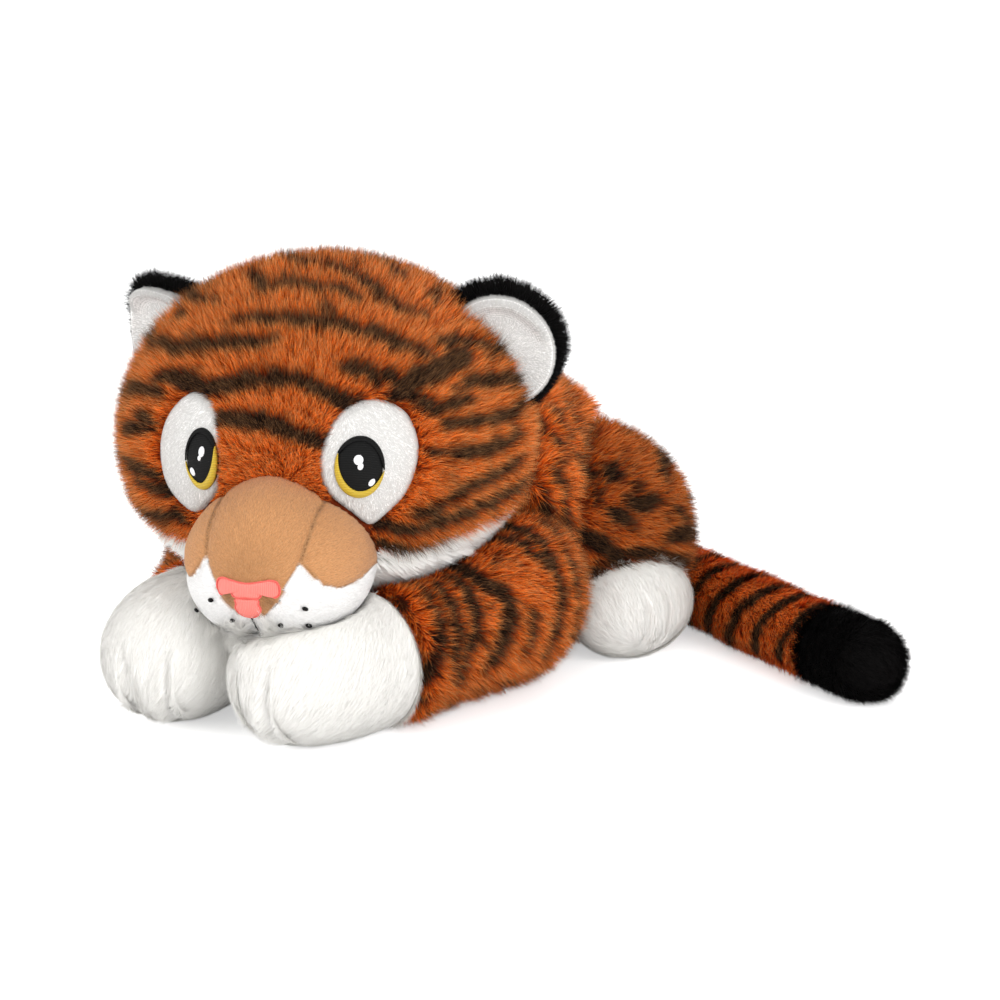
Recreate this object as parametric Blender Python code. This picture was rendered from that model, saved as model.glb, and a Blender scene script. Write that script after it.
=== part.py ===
"""A plush tiger lying on its belly with its chin between its front paws.

Units are metres, +Z is up and the tiger faces -Y, so +X is its left side.
The origin is the middle of the flat patch of belly that it rests on.
"""

import math

import bmesh
import bpy
from mathutils import Matrix, Vector

# Fabric, stitching and clearances
fur_cover_thickness = 0.0060
short_plush_thickness = 0.0035
embroidery_thickness = 0.0009
nose_embroidery_thickness = 0.0016
seam_gap = 0.0003
rest_flat_depth = 0.0005
cutter_overrun = 0.0200
chin_sweep_allowance = 0.0020
head_sweep_allowance = 0.0055

# Body
body_half_width = 0.0814
body_half_length = 0.0935
body_half_height = 0.0745
belly_seam_height = 0.0140

# Head, with the centre that it turns about; insets here and below are from an end of the body
head_half_width = 0.0900
head_half_depth = 0.0836
head_half_height = 0.0770
head_centre_side = -0.0010
head_centre_inset = 0.0230
head_centre_forward = body_half_length - head_centre_inset
head_centre_height = 0.1170
head_yaw_degrees = 22.0
chin_seam_drop = 0.0400

# Neck plug, seated in a round hollow of the body
neck_seat_clearance = 0.0020
neck_seat_radius = max(head_half_width, head_half_depth, head_half_height) + neck_seat_clearance
neck_plug_radius = 0.0200
neck_slope_degrees = 27.0
neck_yaw_degrees = 6.0

# Muzzle, measured from the centre of the head
muzzle_half_width = 0.0424
muzzle_half_depth = 0.0440
muzzle_half_height = 0.0341
muzzle_forward = 0.0770
muzzle_drop = 0.0396
muzzle_seam_side = 0.0220
muzzle_seam_end_side = 0.0200
muzzle_seam_end_height = 0.0095
lip_corner_side = 0.0300
lip_corner_drop = 0.0020
lip_end_side = 0.0360
lip_end_drop = 0.0045
nose_corner_side = 0.0150
philtrum_half_width = 0.0060
philtrum_drop = 0.0105

# Nose, mouth and whisker dots, measured from the centre of the muzzle
nose_bar_half_width = 0.0142
nose_bar_top = 0.0048
nose_bar_bottom = 0.0045
nose_droop = 0.0022
nose_stem_half_width = 0.0052
nose_stem_drop = 0.0130
mouth_line_width = 0.0010
mouth_line_top_drop = 0.0138
mouth_line_end_drop = 0.0295
whisker_dot_radius = 0.0009
outer_dot_side = 0.0195
outer_dot_drop = 0.0092
inner_dot_side = 0.0118
inner_dot_drop = 0.0175
lower_dot_side = 0.0214
lower_dot_drop = 0.0185

# Eyes and their white patches, measured from the centre of the head
eye_side = 0.0360
eye_height = 0.0040
eye_half_width = 0.0098
eye_half_height = 0.0132
iris_width = 0.0036
iris_end_gap = 0.0012
iris_start_degrees = -190.0
iris_sweep_degrees = 170.0
highlight_radius = 0.0032
eye_patch_side = 0.0405
eye_patch_height = 0.0045
eye_patch_half_width = 0.0205
eye_patch_half_height = 0.0275
eye_patch_lean_degrees = 8.0
eye_patch_depth = 0.0400

# Ears, measured from the centre of the head
ear_half_span = 0.0288
ear_half_height = 0.0280
ear_half_thickness = 0.0125
ear_side = 0.0795
ear_back = 0.0075
ear_height = 0.0420
ear_rise_degrees = 45.0
left_ear_splay_degrees = 12.0
right_ear_splay_degrees = 28.0
ear_base_inset = 0.0140
ear_rim_width = 0.0055
ear_scoop_depth = 0.0135
ear_lining_thickness = 0.0030
ear_fold_degrees = (-15.0, 25.0)

# Front legs, measured along the leg from the middle of the shoulder
shoulder_radius = 0.0430
shoulder_half_height = 0.0440
left_shoulder_side = 0.0640
left_shoulder_inset = 0.0580
left_shoulder_forward = body_half_length - left_shoulder_inset
left_leg_yaw_degrees = -8.0
right_shoulder_side = 0.0580
right_shoulder_inset = 0.0460
right_shoulder_forward = body_half_length - right_shoulder_inset
right_leg_yaw_degrees = 19.0
forearm_reach = 0.0500
forearm_half_width = 0.0345
forearm_half_height = 0.0350
wrist_reach = 0.0740
wrist_half_width = 0.0325
wrist_half_height = 0.0310
paw_reach = 0.1060
paw_half_width = 0.0340
paw_half_height = 0.0318
paw_length = 0.0440
leg_swing_degrees = 20.0

# Hind legs
haunch_half_width = 0.0418
haunch_radius = 0.0492
haunch_side = 0.0575
haunch_inset = 0.0308
haunch_back = body_half_length - haunch_inset
haunch_opening_radius = 0.0200
hind_paw_half_width = 0.0264
hind_paw_half_length = 0.0352
hind_paw_half_height = 0.0242
hind_paw_side = 0.0900
hind_paw_inset = 0.0484
hind_paw_back = body_half_length - hind_paw_inset
hind_leg_lift_degrees = 25.0

# Tail: its root, then how far to the side and behind or before its root each place on it is
tail_root_radius = 0.0185
tail_root_inset = 0.0075
tail_root_back = body_half_length - tail_root_inset
tail_root_height = 0.0280
tail_radius = 0.0176
tail_tip_radius = 0.0185
tail_wall_thickness = 0.0050
tail_hip_side = 0.0170
tail_hip_reach = 0.0270
tail_hip_back = tail_root_back + tail_hip_reach
tail_bend_side = 0.0500
tail_bend_reach = 0.0400
tail_bend_back = tail_root_back + tail_bend_reach
tail_turn_side = 0.0880
tail_turn_reach = 0.0235
tail_turn_back = tail_root_back + tail_turn_reach
tail_middle_side = 0.1520
tail_middle_drop = 0.0095
tail_middle_back = tail_root_back - tail_middle_drop
tail_end_side = 0.2160
tail_end_drop = 0.0420
tail_end_back = tail_root_back - tail_end_drop
tail_tip_length = 0.0480
tail_lift_degrees = 20.0
head_tilt_degrees = 12.0

# How finely the round forms are divided
large_segments = 24
large_rings = 12
middle_segments = 20
middle_rings = 10
inner_segments = 14
inner_rings = 8
small_segments = 14
neck_seat_segments = 64
neck_seat_rings = 32
limb_sides = 16
limb_inner_sides = 10
tail_sides = 12
leg_steps = 2
tail_steps = 2
outline_points = 16
dot_points = 8
shoulder_step_degrees = (-65.0, -40.0, -12.0)
round_end_degrees = (35.0, 65.0)
sweep_shares = (0.0, 0.5, 1.0)
hollow_sweep_shares = (0.0, 0.25, 0.5, 0.75, 1.0)
tilt_sweep_shares = (-1.0, -0.5, 0.0, 0.5, 1.0)

# Colours, as linear values
tiger_orange = (0.50, 0.115, 0.016)
stuffing_white = (0.82, 0.82, 0.80)
plush_white = (0.80, 0.79, 0.76)
fur_black = (0.012, 0.010, 0.010)
muzzle_brown = (0.42, 0.235, 0.115)
nose_pink = (0.78, 0.20, 0.16)
thread_black = (0.015, 0.013, 0.013)
thread_gold = (0.48, 0.33, 0.03)

parts = None
cutters = None


def clear_scene():
    for old in list(bpy.data.objects):
        bpy.data.objects.remove(old)


def make_collection(name):
    made = bpy.data.collections.new(name)
    bpy.context.scene.collection.children.link(made)
    return made


def cloth(name, colour, roughness=0.9):
    """One Principled material for a piece."""
    made = bpy.data.materials.new(name)
    made.use_nodes = True
    shader = made.node_tree.nodes["Principled BSDF"]
    shader.inputs["Base Color"].default_value = (*colour, 1.0)
    shader.inputs["Roughness"].default_value = roughness
    shader.inputs["Metallic"].default_value = 0.0
    return made


def frame_at(name, place, parent=None):
    """An empty that a group of pieces hangs on, at the point that it turns about."""
    empty = bpy.data.objects.new(name, None)
    parts.objects.link(empty)
    empty.parent = parent
    empty.matrix_basis = place
    return empty


def add_part(name, mesh, frame, colour, place=Matrix()):
    made = bpy.data.objects.new(name, mesh)
    parts.objects.link(made)
    made.parent = frame
    made.matrix_basis = place
    made.data.materials.append(cloth(name, colour))
    made.data.shade_smooth()
    return made


def add_cutter(name, mesh, place=Matrix()):
    """A cutter is placed in the world and isn't a piece of the toy."""
    made = bpy.data.objects.new(name, mesh)
    cutters.objects.link(made)
    made.matrix_basis = place
    made.hide_render = True
    made.display_type = "WIRE"
    return made


def apply_boolean(target, other, operation):
    step = target.modifiers.new(operation.lower() + " " + other.name, "BOOLEAN")
    step.operation = operation
    step.object = other
    step.solver = "EXACT"


def subtract(target, *others):
    for other in others:
        apply_boolean(target, other, "DIFFERENCE")


def keep_inside(target, other):
    apply_boolean(target, other, "INTERSECT")


def finish_mesh(name, work):
    bmesh.ops.recalc_face_normals(work, faces=work.faces)
    mesh = bpy.data.meshes.new(name)
    work.to_mesh(mesh)
    work.free()
    return mesh


def grown(radii, growth):
    return tuple(radius + growth for radius in radii)


def clearing(radii, gap, segments, rings):
    """Radii of a faceted ball whose flats all stay outside a true ball that turns in it."""
    across = math.cos(math.pi / segments) * math.cos(math.pi / (2 * rings))
    return tuple((radius + gap) / across for radius in radii)


def ellipsoid_mesh(name, radii, segments, rings, poles="Z"):
    work = bmesh.new()
    bmesh.ops.create_uvsphere(work, u_segments=segments, v_segments=rings, radius=1.0)
    turn = Matrix.Rotation(math.pi / 2, 4, "Y") if poles == "X" else Matrix()
    scale = Matrix.Diagonal((*radii, 1.0))
    bmesh.ops.transform(work, matrix=scale @ turn, verts=work.verts)
    return finish_mesh(name, work)


def box_mesh(name, low, high):
    low = Vector(low)
    high = Vector(high)
    work = bmesh.new()
    bmesh.ops.create_cube(work, size=1.0)
    scale = Matrix.Diagonal((*(high - low), 1.0))
    place = Matrix.Translation((low + high) / 2)
    bmesh.ops.transform(work, matrix=place @ scale, verts=work.verts)
    return finish_mesh(name, work)


def rod_mesh(name, radius, length, segments):
    """A round rod from the origin along +Z."""
    work = bmesh.new()
    bmesh.ops.create_cone(
        work, cap_ends=True, segments=segments, radius1=radius, radius2=radius, depth=length)
    bmesh.ops.translate(work, vec=Vector((0, 0, length / 2)), verts=work.verts)
    return finish_mesh(name, work)


def outline_cutter(name, points, near, far, place):
    """A flat outline seen from the front, pushed back from near to far behind the face."""
    curve = bpy.data.curves.new(name, "CURVE")
    curve.dimensions = "2D"
    curve.fill_mode = "BOTH"
    curve.extrude = (far - near) / 2
    spline = curve.splines.new("POLY")
    spline.points.add(len(points) - 1)
    for point, (across, up) in zip(spline.points, points):
        point.co = (across, up, 0, 1)
    spline.use_cyclic_u = True
    drawn = bpy.data.objects.new(name + " outline", curve)
    cutters.objects.link(drawn)
    bpy.context.view_layer.update()
    mesh = bpy.data.meshes.new_from_object(drawn.evaluated_get(bpy.context.evaluated_depsgraph_get()))
    bpy.data.objects.remove(drawn)
    work = bmesh.new()
    work.from_mesh(mesh)
    bmesh.ops.remove_doubles(work, verts=work.verts, dist=seam_gap / 10)
    stand_up = Matrix.Rotation(math.pi / 2, 4, "X")
    middle = Matrix.Translation((0, (near + far) / 2, 0))
    bmesh.ops.transform(work, matrix=middle @ stand_up, verts=work.verts)
    return add_cutter(name, finish_mesh(name, work), place)


def ellipse_points(side, height, half_width, half_height, lean_degrees=0.0, count=outline_points):
    lean = math.radians(lean_degrees)
    points = []
    for step in range(count):
        angle = 2 * math.pi * step / count
        across = half_width * math.cos(angle)
        up = half_height * math.sin(angle)
        points.append((
            side + across * math.cos(lean) - up * math.sin(lean),
            height + across * math.sin(lean) + up * math.cos(lean),
        ))
    return points


def mirrored(points):
    return [(-across, up) for across, up in reversed(points)]


def smooth_between(values, steps):
    """Points on a smooth curve through the given ones, each a tuple of numbers."""
    rows = [Vector(value) for value in values]
    line = []
    for index in range(len(rows) - 1):
        before = rows[max(index - 1, 0)]
        here = rows[index]
        after = rows[index + 1]
        beyond = rows[min(index + 2, len(rows) - 1)]
        for step in range(steps):
            t = step / steps
            line.append(
                here
                + (after - before) * (t / 2)
                + (before * 2 - here * 5 + after * 4 - beyond) * (t * t / 2)
                + (here * 3 - before - after * 3 + beyond) * (t * t * t / 2)
            )
    line.append(rows[-1])
    return line


def loft_mesh(name, rings, first_pole, last_pole, sides):
    """A closed swelling form through oval rings: (centre, across, up) with half sizes in the vectors."""
    work = bmesh.new()
    loops = []
    for centre, across, up in rings:
        loop = []
        for side in range(sides):
            angle = 2 * math.pi * side / sides
            loop.append(work.verts.new(centre + across * math.cos(angle) + up * math.sin(angle)))
        loops.append(loop)
    start = work.verts.new(first_pole)
    end = work.verts.new(last_pole)
    for side in range(sides):
        beside = (side + 1) % sides
        work.faces.new((start, loops[0][beside], loops[0][side]))
        work.faces.new((end, loops[-1][side], loops[-1][beside]))
        for near, far in zip(loops, loops[1:]):
            work.faces.new((near[side], near[beside], far[beside], far[side]))
    return finish_mesh(name, work)


def turned_about(pivot, axis, degrees, place):
    """A placement as it is after a turn about an axis through a point."""
    there = Matrix.Translation(pivot)
    back = Matrix.Translation(-Vector(pivot))
    return there @ Matrix.Rotation(math.radians(degrees), 4, Vector(axis)) @ back @ place


# Placements that several groups share
head_centre = Vector((head_centre_side, -head_centre_forward, head_centre_height))
head_place = Matrix.Translation(head_centre) @ Matrix.Rotation(math.radians(head_yaw_degrees), 4, "Z")
head_radii = (head_half_width, head_half_depth, head_half_height)
muzzle_offset = Vector((0, -muzzle_forward, -muzzle_drop))
muzzle_place = head_place @ Matrix.Translation(muzzle_offset)
muzzle_radii = (muzzle_half_width, muzzle_half_depth, muzzle_half_height)
tilt_axis = (head_place.to_3x3() @ muzzle_offset).normalized()
nod_axis = (head_place.to_3x3() @ Vector((-1, 0, 0))).normalized()
body_radii = (body_half_width, body_half_length, body_half_height)
body_place = Matrix.Translation((0, 0, body_half_height - rest_flat_depth))
haunch_radii = (haunch_half_width, haunch_radius, haunch_radius)
hind_paw_radii = (hind_paw_half_width, hind_paw_half_length, hind_paw_half_height)
tail_root = Vector((0, tail_root_back, tail_root_height))
reach_of_all = body_half_length + tail_end_side


def floor_cutter():
    wide = reach_of_all
    low = (-wide, -wide, -cutter_overrun)
    return add_cutter("floor cutter", box_mesh("floor cutter", low, (wide, wide, 0)))


def leg_rings(growth):
    """Oval rings of a front leg that points along -Y, with its shoulder at the origin."""
    rows = []
    for degrees in shoulder_step_degrees:
        angle = math.radians(degrees)
        rows.append((
            (shoulder_radius + growth) * math.sin(angle),
            (shoulder_radius + growth) * math.cos(angle),
            (shoulder_half_height + growth) * math.cos(angle),
            0,
        ))
    for reach, half_width, half_height in (
        (forearm_reach, forearm_half_width, forearm_half_height),
        (wrist_reach, wrist_half_width, wrist_half_height),
        (paw_reach, paw_half_width, paw_half_height),
    ):
        rows.append((reach, half_width + growth, half_height + growth, half_height - shoulder_half_height))
    for degrees in round_end_degrees:
        angle = math.radians(degrees)
        rows.append((
            paw_reach + (paw_length + growth) * math.sin(angle),
            (paw_half_width + growth) * math.cos(angle),
            (paw_half_height + growth) * math.cos(angle),
            paw_half_height - shoulder_half_height,
        ))
    rings = []
    for reach, half_width, half_height, up in smooth_between(rows, leg_steps):
        rings.append((Vector((0, -reach, up)), Vector((half_width, 0, 0)), Vector((0, 0, half_height))))
    return rings


def leg_mesh(name, growth, sides):
    rings = leg_rings(growth)
    start = Vector((0, shoulder_radius + growth, 0))
    end = Vector((0, -paw_reach - paw_length - growth, rings[-1][0].z))
    return loft_mesh(name, rings, start, end, sides)


def tail_rings(growth):
    """Rings of the tail along a smooth curve, from its root to near its rounded end."""
    floor_height = tail_radius - rest_flat_depth
    tip_height = tail_tip_radius - rest_flat_depth
    hip_height = (tail_root_height + floor_height) / 2
    route = [
        (0, tail_root_back, tail_root_height, tail_radius),
        (tail_hip_side, tail_hip_back, hip_height, tail_radius),
        (tail_bend_side, tail_bend_back, floor_height, tail_radius),
        (tail_turn_side, tail_turn_back, floor_height, tail_radius),
        (tail_middle_side, tail_middle_back, floor_height, tail_radius),
        (tail_end_side, tail_end_back, tip_height, tail_tip_radius),
    ]
    line = smooth_between(route, tail_steps)
    rings = []
    for index, row in enumerate(line):
        here = Vector(row[:3])
        before = Vector(line[max(index - 1, 0)][:3])
        after = Vector(line[min(index + 1, len(line) - 1)][:3])
        along = (after - before).normalized()
        across = along.cross(Vector((0, 0, 1))).normalized()
        up = across.cross(along).normalized()
        rings.append((here, across * (row[3] + growth), up * (row[3] + growth)))
    return rings, along


def tail_mesh(name, growth, sides):
    rings, along = tail_rings(growth)
    end_centre, across, up = rings[-1]
    radius = across.length
    for degrees in round_end_degrees:
        angle = math.radians(degrees)
        forward = along * (radius * math.sin(angle))
        rings.append((end_centre + forward, across * math.cos(angle), up * math.cos(angle)))
    rings = rings[1:]
    start = rings[0][0] - (rings[1][0] - rings[0][0]).normalized() * (tail_radius / 2 + growth)
    return loft_mesh(name, rings, start, end_centre + along * radius, sides)


def front_leg_placement(side_sign):
    if side_sign > 0:
        shoulder = Vector((left_shoulder_side, -left_shoulder_forward, 0))
        yaw = left_leg_yaw_degrees
    else:
        shoulder = Vector((-right_shoulder_side, -right_shoulder_forward, 0))
        yaw = right_leg_yaw_degrees
    shoulder.z = shoulder_half_height - rest_flat_depth
    return shoulder, Matrix.Translation(shoulder) @ Matrix.Rotation(math.radians(yaw), 4, "Z")


def hip_placement(side_sign):
    return Matrix.Translation((side_sign * haunch_side, haunch_back, haunch_radius - rest_flat_depth))


def torso_sockets():
    """Hollows in the body for the neck, shoulders, hips and tail, each clear of what turns in it."""
    sockets = []
    radii = clearing((neck_seat_radius,) * 3, seam_gap, large_segments, large_rings)
    mesh = ellipsoid_mesh("neck socket", radii, large_segments, large_rings)
    sockets.append(add_cutter("neck socket", mesh, head_place))
    for side, side_sign in (("left", 1), ("right", -1)):
        shoulder, place = front_leg_placement(side_sign)
        ball = (shoulder_radius, shoulder_radius, shoulder_half_height)
        radii = clearing(ball, seam_gap, large_segments, large_rings)
        mesh = ellipsoid_mesh("shoulder socket " + side, radii, large_segments, large_rings)
        sockets.append(add_cutter("shoulder socket " + side, mesh, place))
        for share in hollow_sweep_shares:
            label = "leg hollow " + side + " " + str(share)
            mesh = leg_mesh(label, 2 * seam_gap, limb_sides)
            out = side_sign * leg_swing_degrees * share
            sockets.append(add_cutter(label, mesh, turned_about(shoulder, (0, 0, 1), out, place)))
        radii = clearing(haunch_radii, seam_gap, large_segments, large_rings)
        mesh = ellipsoid_mesh("hip socket " + side, radii, large_segments, large_rings, poles="X")
        sockets.append(add_cutter("hip socket " + side, mesh, hip_placement(side_sign)))
    radii = clearing((tail_root_radius,) * 3, seam_gap, middle_segments, middle_rings)
    mesh = ellipsoid_mesh("tail socket", radii, middle_segments, middle_rings)
    sockets.append(add_cutter("tail socket", mesh, Matrix.Translation(tail_root)))
    return sockets


def make_torso(floor):
    frame = frame_at("torso frame", Matrix())
    sockets = torso_sockets()
    inner_radii = grown(body_radii, -fur_cover_thickness)
    inner = ellipsoid_mesh("body lining", inner_radii, middle_segments, middle_rings)
    lining = add_cutter("body lining", inner, body_place)
    wide = body_half_length + cutter_overrun
    low = (-wide, -wide, -cutter_overrun)
    below = add_cutter("belly region", box_mesh("belly region", low, (wide, wide, belly_seam_height)))
    panel_top = (wide, wide, belly_seam_height - seam_gap)
    panel_region = add_cutter("belly panel region", box_mesh("belly panel region", low, panel_top))
    outer = ellipsoid_mesh("body_cover", body_radii, large_segments, large_rings)
    cover = add_part("body_cover", outer, frame, tiger_orange, body_place)
    subtract(cover, lining, below, *sockets)
    outer = ellipsoid_mesh("belly_panel", body_radii, large_segments, large_rings)
    panel = add_part("belly_panel", outer, frame, plush_white, body_place)
    subtract(panel, lining)
    keep_inside(panel, panel_region)
    subtract(panel, floor, *sockets)
    fill_radii = grown(body_radii, -fur_cover_thickness - seam_gap)
    fill = ellipsoid_mesh("body_stuffing", fill_radii, middle_segments, middle_rings)
    stuffing = add_part("body_stuffing", fill, frame, stuffing_white, body_place)
    subtract(stuffing, *sockets)


def leg_sweep_cutters(side, side_sign, shoulder, growth):
    """The head and the muzzle as the leg meets them while it swings outwards."""
    found = []
    for share in sweep_shares:
        back = -side_sign * leg_swing_degrees * share
        head_size = grown(head_radii, head_sweep_allowance + growth)
        label = "head over leg " + side + " " + str(len(found))
        mesh = ellipsoid_mesh(label, head_size, middle_segments, middle_rings)
        found.append(add_cutter(label, mesh, turned_about(shoulder, (0, 0, 1), back, head_place)))
        chin_size = grown(muzzle_radii, chin_sweep_allowance + seam_gap + growth)
        label = "chin over paw " + side + " " + str(len(found))
        mesh = ellipsoid_mesh(label, chin_size, middle_segments, middle_rings)
        found.append(add_cutter(label, mesh, turned_about(shoulder, (0, 0, 1), back, muzzle_place)))
    return found


def make_front_leg(side, side_sign, floor):
    shoulder, place = front_leg_placement(side_sign)
    frame = frame_at("front leg frame " + side, place)
    outside = leg_sweep_cutters(side, side_sign, shoulder, 0)
    inside = leg_sweep_cutters(side, side_sign, shoulder, fur_cover_thickness)
    inner = leg_mesh("leg lining", -fur_cover_thickness, limb_inner_sides)
    lining = add_cutter("leg lining " + side, inner, place)
    subtract(lining, *inside)
    wide = paw_reach + paw_length + cutter_overrun
    paw_low = (-wide, -wide, -wide)
    region = box_mesh("paw region", paw_low, (wide, -wrist_reach - seam_gap, wide))
    paw_region = add_cutter("paw region " + side, region, place)
    room = box_mesh("paw room", paw_low, (wide, -wrist_reach, wide))
    paw_room = add_cutter("paw room " + side, room, place)
    cover = add_part(
        "front_leg_cover_" + side, leg_mesh("front leg", 0, limb_sides), frame, tiger_orange)
    subtract(cover, floor, *outside, lining, paw_room)
    paw = add_part("front_paw_" + side, leg_mesh("front paw", 0, limb_sides), frame, plush_white)
    subtract(paw, floor, *outside, lining)
    keep_inside(paw, paw_region)
    fill = leg_mesh("front leg fill", -fur_cover_thickness - seam_gap, limb_inner_sides)
    stuffing = add_part("front_leg_stuffing_" + side, fill, frame, stuffing_white)
    more = leg_sweep_cutters(side, side_sign, shoulder, fur_cover_thickness + seam_gap)
    subtract(stuffing, *more)


def make_hind_leg(side, side_sign, floor):
    place = hip_placement(side_sign)
    hip = place.to_translation()
    frame = frame_at("hind leg frame " + side, place)
    inner = ellipsoid_mesh(
        "haunch lining", grown(haunch_radii, -fur_cover_thickness), inner_segments, inner_rings, poles="X")
    lining = add_cutter("haunch lining " + side, inner, place)
    inward = Matrix.Rotation(-side_sign * math.pi / 2, 4, "Y")
    length = haunch_half_width + cutter_overrun
    rod = rod_mesh("haunch opening", haunch_opening_radius, length, small_segments)
    opening = add_cutter("haunch opening " + side, rod, place @ inward)
    outer = ellipsoid_mesh("haunch", haunch_radii, middle_segments, middle_rings, poles="X")
    cover = add_part("haunch_cover_" + side, outer, frame, tiger_orange)
    subtract(cover, lining, opening, floor)
    fill_radii = grown(haunch_radii, -fur_cover_thickness - seam_gap)
    fill = ellipsoid_mesh("haunch fill", fill_radii, inner_segments, inner_rings, poles="X")
    add_part("haunch_stuffing_" + side, fill, frame, stuffing_white)

    paw_point = Vector((side_sign * hind_paw_side, hind_paw_back, hind_paw_half_height - rest_flat_depth))
    paw_place = Matrix.Translation(paw_point)
    against = []
    near = ellipsoid_mesh(
        "haunch beside paw", grown(haunch_radii, seam_gap), middle_segments, middle_rings, poles="X")
    against.append(add_cutter("haunch beside paw " + side, near, place))
    for share in sweep_shares:
        label = "body beside paw " + side + " " + str(len(against))
        mesh = ellipsoid_mesh(label, grown(body_radii, 2 * seam_gap), large_segments, large_rings)
        moved = turned_about(hip, (1, 0, 0), hind_leg_lift_degrees * share, body_place)
        against.append(add_cutter(label, mesh, moved))
    inner_radii = grown(hind_paw_radii, -fur_cover_thickness)
    inner = ellipsoid_mesh("hind paw lining", inner_radii, inner_segments, inner_rings)
    lining = add_cutter("hind paw lining " + side, inner, paw_place)
    outer = ellipsoid_mesh("hind paw", hind_paw_radii, middle_segments, middle_rings)
    local = Matrix.Translation(paw_point - hip)
    paw = add_part("hind_paw_" + side, outer, frame, plush_white, local)
    subtract(paw, lining, floor, *against)
    fill_radii = grown(hind_paw_radii, -fur_cover_thickness - seam_gap)
    fill = ellipsoid_mesh("hind paw fill", fill_radii, inner_segments, inner_rings)
    stuffing = add_part("hind_paw_stuffing_" + side, fill, frame, stuffing_white, local)
    subtract(stuffing, *against)


def make_neck():
    frame = frame_at("neck frame", head_place)
    seat = ellipsoid_mesh("neck_plug", (neck_seat_radius,) * 3, neck_seat_segments, neck_seat_rings)
    plug = add_part("neck_plug", seat, frame, stuffing_white)
    slope = math.radians(neck_slope_degrees)
    towards_body = Vector((0, math.cos(slope), -math.sin(slope)))
    aim = Vector((0, 0, 1)).rotation_difference(towards_body).to_matrix().to_4x4()
    length = neck_seat_radius + cutter_overrun
    rod = rod_mesh("neck plug core", neck_plug_radius, length, middle_segments)
    yaw = Matrix.Rotation(math.radians(neck_yaw_degrees), 4, "Z")
    core = add_cutter("neck plug core", rod, Matrix.Translation(head_centre) @ yaw @ aim)
    keep_inside(plug, core)
    for share in tilt_sweep_shares:
        size = grown(head_radii, seam_gap)
        label = "head over neck " + str(share)
        mesh = ellipsoid_mesh(label, size, large_segments, large_rings)
        turned = turned_about(head_centre, tilt_axis, share * head_tilt_degrees, head_place)
        subtract(plug, add_cutter(label, mesh, turned))


def head_layer(name, frame, colour, low_growth, high_growth):
    """A piece that lies on the head between two heights above its surface."""
    outer = ellipsoid_mesh(name, grown(head_radii, high_growth), large_segments, large_rings)
    piece = add_part(name, outer, frame, colour)
    below = ellipsoid_mesh(name + " underside", grown(head_radii, low_growth), large_segments, large_rings)
    subtract(piece, add_cutter(name + " underside", below, head_place))
    return piece


def front_of_head(name, points):
    near = -head_half_depth - cutter_overrun
    return outline_cutter(name, points, near, -eye_patch_depth, head_place)


def patch_points(side_sign, growth):
    points = ellipse_points(
        eye_patch_side, eye_patch_height, eye_patch_half_width + growth, eye_patch_half_height + growth,
        -eye_patch_lean_degrees)
    return points if side_sign > 0 else mirrored(points)


def crescent_points(side_sign):
    """The gold crescent along the lower inner side of an eye."""
    outer_wide = eye_half_width - iris_end_gap
    outer_high = eye_half_height - iris_end_gap
    points = []
    steps = outline_points // 2
    for step in range(steps + 1):
        angle = math.radians(iris_start_degrees + iris_sweep_degrees * step / steps)
        points.append((eye_side + outer_wide * math.cos(angle), eye_height + outer_high * math.sin(angle)))
    for step in range(1, steps):
        share = 1 - step / steps
        angle = math.radians(iris_start_degrees + iris_sweep_degrees * share)
        thin = iris_width * math.sin(math.pi * share)
        points.append((
            eye_side + (outer_wide - thin) * math.cos(angle),
            eye_height + (outer_high - thin) * math.sin(angle),
        ))
    return points if side_sign > 0 else mirrored(points)


def make_eye(side, side_sign, frame):
    low = seam_gap
    high = seam_gap + embroidery_thickness
    black = head_layer("eye_pupil_" + side, frame, thread_black, low, high)
    points = ellipse_points(side_sign * eye_side, eye_height, eye_half_width, eye_half_height)
    keep_inside(black, front_of_head("eye outline " + side, points))
    low = high + seam_gap
    high = low + embroidery_thickness
    iris = head_layer("eye_iris_" + side, frame, thread_gold, low, high)
    keep_inside(iris, front_of_head("iris outline " + side, crescent_points(side_sign)))
    shine = head_layer("eye_highlight_" + side, frame, plush_white, low, high)
    up = eye_height + eye_half_height / 4
    points = ellipse_points(side_sign * eye_side, up, highlight_radius, highlight_radius)
    keep_inside(shine, front_of_head("highlight outline " + side, points))


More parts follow.
